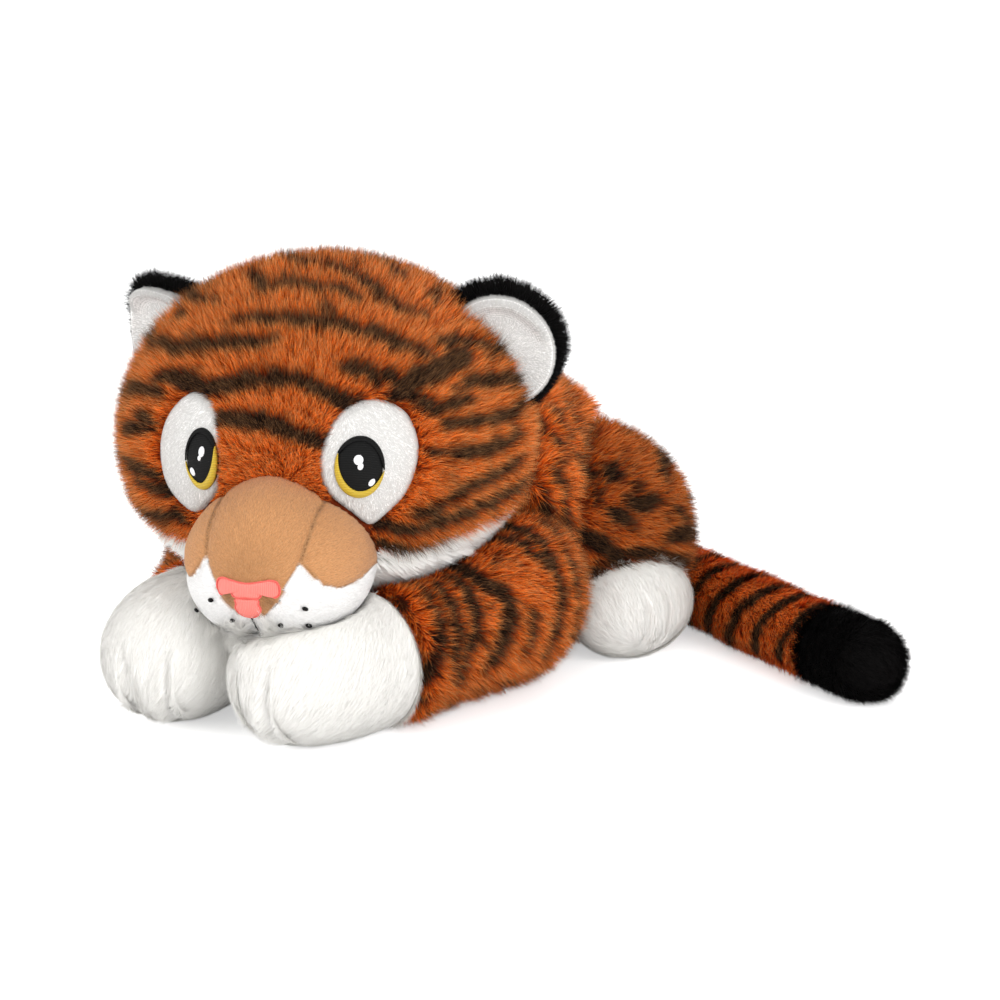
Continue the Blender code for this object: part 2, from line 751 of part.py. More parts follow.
def make_head():
    frame = frame_at("head frame", head_place)
    inner_radii = grown(head_radii, -fur_cover_thickness)
    inner = ellipsoid_mesh("head lining", inner_radii, middle_segments, middle_rings)
    lining = add_cutter("head lining", inner, head_place)
    wide = head_half_width + cutter_overrun
    low = (-wide, -wide, -wide)
    chin_room = add_cutter("chin room", box_mesh("chin room", low, (wide, wide, -chin_seam_drop)), head_place)
    ruff_top = -chin_seam_drop - seam_gap
    chin_region = add_cutter("chin region", box_mesh("chin region", low, (wide, wide, ruff_top)), head_place)
    outer = ellipsoid_mesh("head_cover", head_radii, large_segments, large_rings)
    cover = add_part("head_cover", outer, frame, tiger_orange)
    subtract(cover, lining, chin_room)
    outer = ellipsoid_mesh("chin_ruff", head_radii, large_segments, large_rings)
    ruff = add_part("chin_ruff", outer, frame, plush_white)
    subtract(ruff, lining)
    keep_inside(ruff, chin_region)
    fill_radii = grown(head_radii, -fur_cover_thickness - seam_gap)
    fill = ellipsoid_mesh("head_stuffing", fill_radii, middle_segments, middle_rings)
    add_part("head_stuffing", fill, frame, stuffing_white)
    for side, side_sign in (("left", 1), ("right", -1)):
        subtract(cover, front_of_head("patch room " + side, patch_points(side_sign, seam_gap)))
        outer = ellipsoid_mesh("eye patch", head_radii, large_segments, large_rings)
        patch = add_part("eye_patch_" + side, outer, frame, plush_white)
        subtract(patch, lining)
        keep_inside(patch, front_of_head("patch region " + side, patch_points(side_sign, 0)))
        make_eye(side, side_sign, frame)
    return frame


def muzzle_outlines():
    """Outlines of the muzzle's panels from the front, each half a seam gap inside its seams."""
    half_gap = seam_gap / 2
    wide = muzzle_half_width + cutter_overrun
    high = muzzle_half_height + cutter_overrun
    top = [
        (-muzzle_seam_side + half_gap, high),
        (-muzzle_seam_side + half_gap, muzzle_seam_end_height * 2),
        (-muzzle_seam_end_side + half_gap, muzzle_seam_end_height),
        (-nose_corner_side + half_gap, half_gap),
        (-philtrum_half_width + half_gap, -philtrum_drop + half_gap),
    ]
    top = top + mirrored(top)
    side = [
        (muzzle_seam_side + half_gap, high),
        (muzzle_seam_side + half_gap, muzzle_seam_end_height * 2),
        (muzzle_seam_end_side + half_gap, muzzle_seam_end_height + half_gap),
        (lip_corner_side, -lip_corner_drop + half_gap),
        (lip_end_side, -lip_end_drop + half_gap),
        (wide, -lip_end_drop + half_gap),
        (wide, high),
    ]
    lower = [
        (half_gap, -philtrum_drop - half_gap),
        (philtrum_half_width + half_gap, -philtrum_drop - half_gap),
        (nose_corner_side + half_gap, -half_gap),
        (muzzle_seam_end_side + half_gap, muzzle_seam_end_height - half_gap),
        (lip_corner_side, -lip_corner_drop - half_gap),
        (lip_end_side, -lip_end_drop - half_gap),
        (wide, -lip_end_drop - half_gap),
        (wide, -high),
        (half_gap, -high),
    ]
    return top, side, lower


def front_of_muzzle(name, points, far):
    near = -muzzle_half_depth - cutter_overrun
    return outline_cutter(name, points, near, far, muzzle_place)


def make_muzzle(frame):
    local = Matrix.Translation(muzzle_offset)
    inner = ellipsoid_mesh(
        "muzzle lining", grown(muzzle_radii, -short_plush_thickness), inner_segments, inner_rings)
    lining = add_cutter("muzzle lining", inner, muzzle_place)
    mesh = ellipsoid_mesh("face behind muzzle", grown(head_radii, seam_gap), large_segments, large_rings)
    face = add_cutter("face behind muzzle", mesh, head_place)
    top, side_panel, lower = muzzle_outlines()
    panels = (
        ("muzzle_top", top, muzzle_brown),
        ("muzzle_side_left", side_panel, muzzle_brown),
        ("muzzle_side_right", mirrored(side_panel), muzzle_brown),
        ("muzzle_lower_left", lower, plush_white),
        ("muzzle_lower_right", mirrored(lower), plush_white),
    )
    behind = muzzle_half_depth + cutter_overrun
    for name, points, colour in panels:
        outer = ellipsoid_mesh(name, muzzle_radii, middle_segments, middle_rings)
        panel = add_part(name, outer, frame, colour, local)
        subtract(panel, lining)
        keep_inside(panel, front_of_muzzle(name + " outline", points, behind))
        subtract(panel, face)
    fill_radii = grown(muzzle_radii, -short_plush_thickness - seam_gap)
    fill = ellipsoid_mesh("muzzle_stuffing", fill_radii, inner_segments, inner_rings)
    stuffing = add_part("muzzle_stuffing", fill, frame, stuffing_white, local)
    subtract(stuffing, face)


def muzzle_layer(name, frame, colour, thickness):
    local = Matrix.Translation(muzzle_offset)
    high = grown(muzzle_radii, seam_gap + thickness)
    piece = add_part(name, ellipsoid_mesh(name, high, middle_segments, middle_rings), frame, colour, local)
    low = grown(muzzle_radii, seam_gap)
    below = ellipsoid_mesh(name + " underside", low, middle_segments, middle_rings)
    subtract(piece, add_cutter(name + " underside", below, muzzle_place))
    return piece


def make_nose_and_mouth(frame):
    nose = muzzle_layer("nose", frame, nose_pink, nose_embroidery_thickness)
    right_half = [
        (0, nose_bar_top),
        (nose_bar_half_width - nose_droop, nose_bar_top),
        (nose_bar_half_width, nose_bar_top - nose_droop),
        (nose_bar_half_width, -nose_bar_bottom - nose_droop / 2),
        (nose_bar_half_width - nose_droop, -nose_bar_bottom - nose_droop),
        (nose_stem_half_width + nose_droop, -nose_bar_bottom),
        (nose_stem_half_width, -nose_bar_bottom - nose_droop),
        (nose_droop, -nose_stem_drop),
    ]
    left_half = [(-across, up) for across, up in reversed(right_half) if across > 0]
    keep_inside(nose, front_of_muzzle("nose outline", right_half + left_half, 0))
    mouth = muzzle_layer("mouth_stitch", frame, thread_black, embroidery_thickness)
    half = mouth_line_width / 2
    line = [
        (-half, -mouth_line_end_drop),
        (half, -mouth_line_end_drop),
        (half, -mouth_line_top_drop),
        (-half, -mouth_line_top_drop),
    ]
    keep_inside(mouth, front_of_muzzle("mouth outline", line, 0))
    dots = (
        (outer_dot_side, outer_dot_drop),
        (inner_dot_side, inner_dot_drop),
        (lower_dot_side, lower_dot_drop),
    )
    for side, side_sign in (("left", 1), ("right", -1)):
        for number, (across, drop) in enumerate(dots, 1):
            name = "whisker_dot_" + side + "_" + str(number)
            dot = muzzle_layer(name, frame, thread_black, embroidery_thickness)
            points = ellipse_points(
                side_sign * across, -drop, whisker_dot_radius, whisker_dot_radius, count=dot_points)
            keep_inside(dot, front_of_muzzle(name + " outline", points, 0))


def make_ear(side, side_sign, splay_degrees, head_frame):
    rise = math.radians(ear_rise_degrees)
    outward = Vector((side_sign * math.cos(rise), 0, math.sin(rise)))
    centre = Vector((side_sign * ear_side, ear_back, ear_height))
    pivot = centre - outward * ear_base_inset
    lean = Matrix.Rotation(side_sign * (math.pi / 2 - rise), 4, "Y")
    splay = Matrix.Rotation(side_sign * math.radians(splay_degrees), 4, "Z")
    local = Matrix.Translation(pivot) @ splay @ lean
    frame = frame_at("ear frame " + side, local, head_frame)
    up_ear = Matrix.Translation((0, 0, ear_base_inset))
    ear_radii = (ear_half_span, ear_half_thickness, ear_half_height)
    place = head_place @ local @ up_ear
    scoop_radii = (ear_half_span - ear_rim_width, ear_scoop_depth, ear_half_height - ear_rim_width)
    forward = Matrix.Translation((0, -ear_half_thickness, 0))
    sweep = []
    pivot_world = head_place @ pivot
    fold_axis = (head_place @ local).to_3x3() @ Vector((1, 0, 0))
    low, high = ear_fold_degrees
    for share in sweep_shares:
        degrees = low + (high - low) * share
        label = "head behind ear " + side + " " + str(len(sweep))
        mesh = ellipsoid_mesh(label, grown(head_radii, seam_gap), large_segments, large_rings)
        moved = turned_about(pivot_world, fold_axis, -degrees, head_place)
        sweep.append(add_cutter(label, mesh, moved))
    mesh = ellipsoid_mesh("ear scoop", scoop_radii, small_segments, inner_rings)
    scoop = add_cutter("ear scoop " + side, mesh, place @ forward)
    mesh = ellipsoid_mesh("ear seat", grown(scoop_radii, ear_lining_thickness), small_segments, inner_rings)
    seat = add_cutter("ear seat " + side, mesh, place @ forward)
    room_radii = grown(scoop_radii, ear_lining_thickness + seam_gap)
    mesh = ellipsoid_mesh("ear room", room_radii, small_segments, inner_rings)
    room = add_cutter("ear room " + side, mesh, place @ forward)
    outer = ellipsoid_mesh("ear back", ear_radii, middle_segments, middle_rings)
    back = add_part("ear_back_" + side, outer, frame, fur_black, up_ear)
    subtract(back, room, *sweep)
    outer = ellipsoid_mesh("ear front", ear_radii, middle_segments, middle_rings)
    front = add_part("ear_lining_" + side, outer, frame, plush_white, up_ear)
    subtract(front, scoop)
    keep_inside(front, seat)
    subtract(front, *sweep)


def tail_sweep_cutters(growth):
    """The tail root, haunch and body as the tail meets them while it lifts."""
    radii = clearing((tail_root_radius,) * 3, seam_gap, middle_segments, middle_rings)
    mesh = ellipsoid_mesh("tail root room", radii, middle_segments, middle_rings)
    found = [add_cutter("tail root room", mesh, Matrix.Translation(tail_root))]
    reach = Vector((tail_end_side, tail_end_back - tail_root_back, 0)).normalized()
    lift_axis = reach.cross(Vector((0, 0, 1)))
    for share in sweep_shares:
        degrees = tail_lift_degrees * share
        label = "haunch beside tail " + str(len(found))
        size = grown(haunch_radii, 2 * seam_gap + growth)
        mesh = ellipsoid_mesh(label, size, large_segments, large_rings, poles="X")
        found.append(add_cutter(label, mesh, turned_about(tail_root, lift_axis, -degrees, hip_placement(1))))
        label = "body beside tail " + str(len(found))
        mesh = ellipsoid_mesh(label, grown(body_radii, 2 * seam_gap + growth), large_segments, large_rings)
        found.append(add_cutter(label, mesh, turned_about(tail_root, lift_axis, -degrees, body_place)))
    return found


def make_tail(floor):
    root_place = Matrix.Translation(tail_root)
    root_frame = frame_at("tail root frame", root_place)
    ball = ellipsoid_mesh("tail_root", (tail_root_radius,) * 3, middle_segments, middle_rings)
    add_part("tail_root", ball, root_frame, tiger_orange)
    frame = frame_at("tail frame", root_place)
    local = Matrix.Translation(-tail_root)
    rings, along = tail_rings(0)
    tip_seam = rings[-1][0] - along * (tail_tip_length - tail_tip_radius)
    aim = Vector((1, 0, 0)).rotation_difference(along).to_matrix().to_4x4()
    tip_place = Matrix.Translation(tip_seam) @ aim
    half = tail_tip_length + cutter_overrun
    high = (half, half, half)
    tip_room = add_cutter("tail tip room", box_mesh("tip room", (0, -half, -half), high), tip_place)
    low = (seam_gap, -half, -half)
    tip_region = add_cutter("tail tip region", box_mesh("tip region", low, high), tip_place)
    lining = add_cutter("tail lining", tail_mesh("tail lining", -tail_wall_thickness, limb_inner_sides))
    subtract(lining, *tail_sweep_cutters(tail_wall_thickness)[1:])
    cover = add_part("tail_cover", tail_mesh("tail cover", 0, tail_sides), frame, tiger_orange, local)
    subtract(cover, floor, lining, tip_room, *tail_sweep_cutters(0))
    tip = add_part("tail_tip", tail_mesh("tail tip", 0, tail_sides), frame, fur_black, local)
    subtract(tip, floor, lining)
    keep_inside(tip, tip_region)
    fill = tail_mesh("tail fill", -tail_wall_thickness - seam_gap, limb_inner_sides)
    stuffing = add_part("tail_stuffing", fill, frame, stuffing_white, local)
    subtract(stuffing, *tail_sweep_cutters(tail_wall_thickness + seam_gap))


clear_scene()
parts = make_collection("Plush tiger")
cutters = make_collection("Cutters")
floor = floor_cutter()
make_torso(floor)
for side, side_sign in (("left", 1), ("right", -1)):
    make_front_leg(side, side_sign, floor)
    make_hind_leg(side, side_sign, floor)
make_neck()
head_frame = make_head()
make_muzzle(head_frame)
make_nose_and_mouth(head_frame)
make_ear("left", 1, left_ear_splay_degrees, head_frame)
make_ear("right", -1, right_ear_splay_degrees, head_frame)
make_tail(floor)
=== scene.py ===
"""A plush tiger lying on its belly: skins, pile, face and stitching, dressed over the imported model."""
import math

import bmesh
import bpy
import numpy as np
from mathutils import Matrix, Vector
from mathutils.bvhtree import BVHTree


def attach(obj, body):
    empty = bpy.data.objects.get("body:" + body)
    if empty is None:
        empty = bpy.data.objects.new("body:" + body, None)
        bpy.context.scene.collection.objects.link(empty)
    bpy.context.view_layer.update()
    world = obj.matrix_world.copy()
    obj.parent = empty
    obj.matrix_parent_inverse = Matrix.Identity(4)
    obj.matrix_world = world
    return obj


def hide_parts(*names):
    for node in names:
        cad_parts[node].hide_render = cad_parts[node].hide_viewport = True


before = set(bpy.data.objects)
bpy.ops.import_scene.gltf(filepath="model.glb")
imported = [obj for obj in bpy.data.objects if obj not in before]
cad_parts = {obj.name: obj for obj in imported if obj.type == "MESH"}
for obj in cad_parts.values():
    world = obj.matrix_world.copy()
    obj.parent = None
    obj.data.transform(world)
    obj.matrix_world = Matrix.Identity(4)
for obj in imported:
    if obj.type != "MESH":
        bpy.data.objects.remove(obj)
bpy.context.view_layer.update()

# Camera, lamps and floor.
# A long lens looks down a little at the tiger's left front. The floor and the sky are plain
# white, and the lamps are large and soft, as in a catalogue picture.
camera_place = Vector((0.78461, -1.05551, 0.39915))
camera_back = Vector((0.5565, -0.7948, 0.2419))
camera = bpy.data.objects.new("camera", bpy.data.cameras.new("camera"))
camera.data.sensor_width = 36.0
camera.data.lens = 101.887
camera.data.clip_end = 20.0
camera.location = camera_place
camera.rotation_euler = camera_back.to_track_quat("Z", "Y").to_euler()
bpy.context.scene.collection.objects.link(camera)
bpy.context.scene.camera = camera
bpy.context.scene.view_settings.view_transform = "Standard"


def soft_lamp(name, place, aim, size, power):
    lamp = bpy.data.lights.new(name, "AREA")
    lamp.shape = "DISK"
    lamp.size = size
    lamp.energy = power
    holder = bpy.data.objects.new(name, lamp)
    holder.location = place
    holder.rotation_euler = (Vector(place) - Vector(aim)).to_track_quat("Z", "Y").to_euler()
    bpy.context.scene.collection.objects.link(holder)


soft_lamp("key lamp", (-0.8, -1.75, 0.9), (0.0, 0.0, 0.08), 1.4, 19.0)
soft_lamp("side lamp", (1.9, -0.7, 0.8), (0.0, 0.0, 0.08), 1.3, 25.0)
soft_lamp("back lamp", (0.1, 1.5, 1.6), (0.0, 0.0, 0.08), 1.0, 11.0)


def seen_directly(tree):
    """1 for what the camera sees, also in a mirror or through glass, and 0 for other light."""
    sight = tree.nodes.new("ShaderNodeLightPath")
    total = sight.outputs["Is Camera Ray"]
    for label in ("Is Glossy Ray", "Is Transmission Ray"):
        both = tree.nodes.new("ShaderNodeMath")
        both.operation = "MAXIMUM"
        tree.links.new(total, both.inputs[0])
        tree.links.new(sight.outputs[label], both.inputs[1])
        total = both.outputs[0]
    return total


sky = bpy.data.worlds.new("white studio")
sky.use_nodes = True
bpy.context.scene.world = sky
tree = sky.node_tree
tree.nodes.clear()
seen = tree.nodes.new("ShaderNodeBackground")
lit = tree.nodes.new("ShaderNodeBackground")
for shade, strength in ((seen, 1.0), (lit, 0.80)):
    shade.inputs["Color"].default_value = (1, 1, 1, 1)
    shade.inputs["Strength"].default_value = strength
blend = tree.nodes.new("ShaderNodeMixShader")
end = tree.nodes.new("ShaderNodeOutputWorld")
tree.links.new(seen_directly(tree), blend.inputs[0])
tree.links.new(lit.outputs[0], blend.inputs[1])
tree.links.new(seen.outputs[0], blend.inputs[2])
tree.links.new(blend.outputs[0], end.inputs["Surface"])

floor_mesh = bpy.data.meshes.new("floor")
floor_half = 9.0
floor_mesh.from_pydata(
    [(x * floor_half, y * floor_half, 0) for x, y in ((-1, -1), (1, -1), (1, 1), (-1, 1))], [],
    [(0, 1, 2, 3)])
floor = bpy.data.objects.new("floor", floor_mesh)
bpy.context.scene.collection.objects.link(floor)
floor_white = bpy.data.materials.new("floor white")
floor_white.use_nodes = True
tree = floor_white.node_tree
tree.nodes.clear()
paper = tree.nodes.new("ShaderNodeBsdfDiffuse")
paper.inputs["Color"].default_value = (0.93, 0.93, 0.93, 1)
bright = tree.nodes.new("ShaderNodeEmission")
bright.inputs["Color"].default_value = (1, 1, 1, 1)
bright.inputs["Strength"].default_value = 0.52
lift = tree.nodes.new("ShaderNodeAddShader")
pick = tree.nodes.new("ShaderNodeMixShader")
end = tree.nodes.new("ShaderNodeOutputMaterial")
tree.links.new(paper.outputs[0], lift.inputs[0])
tree.links.new(bright.outputs[0], lift.inputs[1])
tree.links.new(seen_directly(tree), pick.inputs[0])
tree.links.new(paper.outputs[0], pick.inputs[1])
tree.links.new(lift.outputs[0], pick.inputs[2])
tree.links.new(pick.outputs[0], end.inputs["Surface"])
floor_mesh.materials.append(floor_white)

# Body: a bag of long-pile striped fabric filled with loose polyester, with a white belly panel.
# It is sewn closed at the belly and lies on it; the head, legs and tail are sewn into dents.
seam_half = 0.0002
skin_gap = 0.0006
floor_gap = 0.0002
pile_floor = 0.0012
body_middle = np.array((0.0, 0.0, 0.0740))
body_sizes = np.array((0.0814, 0.0935, 0.0745))
body_heart = np.array((0.0, 0.030, 0.052))
belly_heart = np.array((0.0, 0.020, 0.007))
belly_seam = 0.0140
head_middle = np.array((-0.0010, -0.0705, 0.1170))
head_sizes = np.array((0.0900, 0.0836, 0.0770))
head_yaw = 22.0
neck_seat = 0.0923
shoulder_ball = np.array((0.0433, 0.0433, 0.0443))
shoulders = {"left": np.array((0.0640, -0.0355, 0.0435)), "right": np.array((-0.0580, -0.0475, 0.0435))}
haunch_sizes = np.array((0.0418, 0.0492, 0.0492))
hips = {"left": np.array((0.0575, 0.0627, 0.0487)), "right": np.array((-0.0575, 0.0627, 0.0487))}
tail_root_place = np.array((0.0, 0.0860, 0.0280))
tail_root_size = 0.0185
flank_puff_place = np.array((0.058, 0.060, 0.102))
flank_puff_way = np.array((0.35, 0.70, 0.62))
flank_puff_rise, flank_puff_spread = 0.0080, 0.020
full_pile = 0.0090
strand_width = 0.00030
strand_inset = 0.12
dye_aside = 0.45
fine_size, fine_edge = 0.0012, 0.0010
stroke_taper, stroke_over, shortest_stroke = 0.38, 0.0005, 0.002
strand_tilt, tip_tilt = 0.38, 0.25


def turned(degrees):
    """A turn about the vertical, as rows that multiply places from the left."""
    c, s = math.cos(math.radians(degrees)), math.sin(math.radians(degrees))
    return np.array(((c, -s, 0), (s, c, 0), (0, 0, 1)))


def unit(vectors):
    return vectors / np.maximum(np.linalg.norm(vectors, axis=-1, keepdims=True), 1e-9)


def ease(low, high, values):
    """0 below one bound and 1 above the other, with a smooth rise between them."""
    share = np.clip((values - low) / (high - low), 0, 1)
    return share * share * (3 - 2 * share)


def wobble(points, size, seed):
    """A smooth uneven value between about -1 and 1 that changes over a given distance."""
    dice = np.random.default_rng(seed)
    total = np.zeros(len(points))
    for _ in range(7):
        way = unit(dice.normal(size=3)) * dice.uniform(0.7, 1.6) * math.pi / size
        total += np.sin(points @ way + dice.uniform(0, 2 * math.pi))
    return total / 3.2


def way_through(starts, ways, middle, sizes, yaw=0.0):
    """How far along each way, as shares of its length, a ray goes into and out of an ellipsoid."""
    turn = turned(-yaw)
    s = ((starts - middle) @ turn.T) / sizes
    w = (ways @ turn.T) / sizes
    a = (w * w).sum(-1)
    b = (w * s).sum(-1)
    c = (s * s).sum(-1) - 1
    inside = b * b - a * c
    root = np.sqrt(np.maximum(inside, 0))
    missed = inside <= 0
    return np.where(missed, np.inf, (-b - root) / a), np.where(missed, -np.inf, (-b + root) / a)


def store(mesh, name, values):
    """Keep one number or one vector for each point of a mesh, or the same number for all."""
    kind, field = ("FLOAT_VECTOR", "vector") if np.ndim(values) == 2 else ("FLOAT", "value")
    if not np.ndim(values):
        values = np.full(len(mesh.vertices), values)
    layer = mesh.attributes.get(name) or mesh.attributes.new(name, kind, "POINT")
    layer.data.foreach_set(field, np.ravel(values).astype(np.float32))


def read(mesh, name, size=1):
    values = np.empty(len(mesh.vertices) * size, np.float32)
    mesh.attributes[name].data.foreach_get("vector" if size == 3 else "value", values)
    return values.reshape(-1, size) if size > 1 else values


def points_of(mesh, field):
    values = np.empty(len(mesh.vertices) * 3, np.float32)
    mesh.vertices.foreach_get(field, values)
    return values.reshape(-1, 3).astype(float)


def places(mesh):
    return points_of(mesh, "co")


def normals(mesh):
    return points_of(mesh, "normal")


def move_points(mesh, spots):
    mesh.vertices.foreach_set("co", np.ravel(spots))
    mesh.update()


def lay_flat(mesh, name, flat):
    """Keep a flat place for each point of a mesh, as a UV map."""
    corner = np.empty(len(mesh.loops), np.int32)
    mesh.loops.foreach_get("vertex_index", corner)
    layer = mesh.uv_layers.get(name) or mesh.uv_layers.new(name=name)
    layer.uv.foreach_set("vector", np.ravel(flat[corner]).astype(np.float32))


def puff(spots, place, way, rise, spread):
    """Raise a soft bump on a skin."""
    gap = np.linalg.norm(spots - place, axis=1)
    return spots + np.outer(rise * np.exp(-(gap / spread) ** 2), unit(way))


def ball_mesh(name, level):
    """A round mesh of even triangles, of radius 1."""
    work = bmesh.new()
    bmesh.ops.create_icosphere(work, subdivisions=level, radius=1.0)
    mesh = bpy.data.meshes.new(name)
    work.to_mesh(mesh)
    work.free()
    return mesh


def show(name, mesh, material=None):
    piece = bpy.data.objects.new(name, mesh)
    bpy.context.scene.collection.objects.link(piece)
    if material:
        mesh.materials.clear()
        mesh.materials.append(material)
    return piece


def stuffed_form(name, middle, sizes, material, yaw=0.0, heart=None, near=(), low=None, high=None, level=5):
    """A filled bag: an ellipsoid that is pressed in where its neighbours lie and flat where it rests."""
    mesh = ball_mesh(name, level)
    ball = unit(places(mesh))
    surface = middle + (ball * sizes) @ turned(yaw).T
    heart = middle if heart is None else heart
    ways = surface - heart
    share = np.ones(len(ways))
    for other_middle, other_sizes, other_yaw in near:
        into, _ = way_through(heart, ways, other_middle, other_sizes, other_yaw)
        share = np.where((into > 0) & (into < share), into, share)
    rise = ways[:, 2]
    if low is not None:
        share = np.where(rise < 0, np.minimum(share, (low - heart[2]) / np.minimum(rise, -1e-6)), share)
    if high is not None:
        share = np.where(rise > 0, np.minimum(share, (high - heart[2]) / np.maximum(rise, 1e-6)), share)
    move_points(mesh, heart + ways * share[:, None])
    mesh.shade_smooth()
    store(mesh, "pressed", ease(0.999, 0.97, share))
    return show(name, mesh, material)


def blank_material(name, roughness, shine):
    material = bpy.data.materials.new(name)
    material.use_nodes = True
    shader = material.node_tree.nodes["Principled BSDF"]
    shader.inputs["Roughness"].default_value = roughness
    shader.inputs["Specular IOR Level"].default_value = shine
    return material, shader, material.node_tree.nodes, material.node_tree.links


def kept_value(nodes, name):
    """A value that a skin or its fur keeps for each point, for a material to read."""
    node = nodes.new("ShaderNodeAttribute")
    node.attribute_name = name
    return node.outputs["Fac"]


def dyes_along(nodes, links, value, dyes):
    """Colours that follow a value, each given with the value it stands at."""
    ramp = nodes.new("ShaderNodeValToRGB")
    stops = ramp.color_ramp.elements
    for index, (position, dye) in enumerate(dyes):
        stop = stops[index] if index < 2 else stops.new(position)
        stop.position = position
        stop.color = [*dye, 1]
    links.new(value, ramp.inputs["Fac"])
    return ramp.outputs["Color"]


def striped_mix(nodes, links, plain, marked):
    """The plain colour, or the marked one where a stripe is dyed."""
    mix = nodes.new("ShaderNodeMix")
    mix.data_type = "RGBA"
    links.new(kept_value(nodes, "stripe"), mix.inputs["Factor"])
    links.new(plain, mix.inputs["A"])
    links.new(marked, mix.inputs["B"])
    return mix.outputs["Result"]


def bumped(nodes, links, height, strength, distance, shader):
    bump = nodes.new("ShaderNodeBump")
    bump.inputs["Strength"].default_value = strength
    bump.inputs["Distance"].default_value = distance
    links.new(height, bump.inputs["Height"])
    links.new(bump.outputs["Normal"], shader.inputs["Normal"])


def knit_material(name, ground, marked, scale=900.0, shadow=0.55):
    """The knitted backing and packed roots of the pile, seen between the strands."""
    material, shader, nodes, links = blank_material(name, roughness=0.9, shine=0.1)
    here = nodes.new("ShaderNodeTexCoord")
    tufts = nodes.new("ShaderNodeTexNoise")
    tufts.inputs["Scale"].default_value = scale
    tufts.inputs["Detail"].default_value = 4.0
    links.new(here.outputs["Object"], tufts.inputs["Vector"])
    plain, dark = (
        dyes_along(nodes, links, tufts.outputs["Fac"], ((0.25, [c * shadow for c in colour]), (0.75, colour)))
        for colour in (ground, marked))
    links.new(striped_mix(nodes, links, plain, dark), shader.inputs["Base Color"])
    bumped(nodes, links, tufts.outputs["Fac"], strength=0.8, distance=0.0006, shader=shader)
    return material


def pile_material(name, ground, marked=None, roughness=0.65, sheen=0.06):
    """Fur whose four colours run along each strand from its root to its tip; the darker roots and lighter
    tips are partly dye and partly painted shade deep in the pile and painted light shining through the tips.
    """
    material, shader, nodes, links = blank_material(name, roughness, shine=0.05)
    shader.inputs["Sheen Weight"].default_value = sheen
    shader.inputs["Sheen Roughness"].default_value = 0.5
    height = kept_value(nodes, "height")
    steps = (0.0, 0.32, 0.58, 0.86)
    plain, dark = (dyes_along(nodes, links, height, zip(steps, dyes)) for dyes in (ground, marked or ground))
    tone = nodes.new("ShaderNodeVectorMath")
    tone.operation = "SCALE"
    links.new(striped_mix(nodes, links, plain, dark), tone.inputs[0])
    links.new(kept_value(nodes, "shade"), tone.inputs["Scale"])
    links.new(tone.outputs["Vector"], shader.inputs["Base Color"])
    return material


def blank_tree(name, measures, counts=()):
    """An empty node tree that takes a mesh, its measures and a material, and gives back a mesh."""
    group = bpy.data.node_groups.new(name, "GeometryNodeTree")
    inputs = [("Geometry", "Geometry"), *((label, "Float") for label in measures)]
    inputs += [*((label, "Int") for label in counts), ("Material", "Material")]
    for label, kind in inputs:
        group.interface.new_socket(label, in_out="INPUT", socket_type="NodeSocket" + kind)
    group.interface.new_socket("Geometry", in_out="OUTPUT", socket_type="NodeSocketGeometry")
    return group


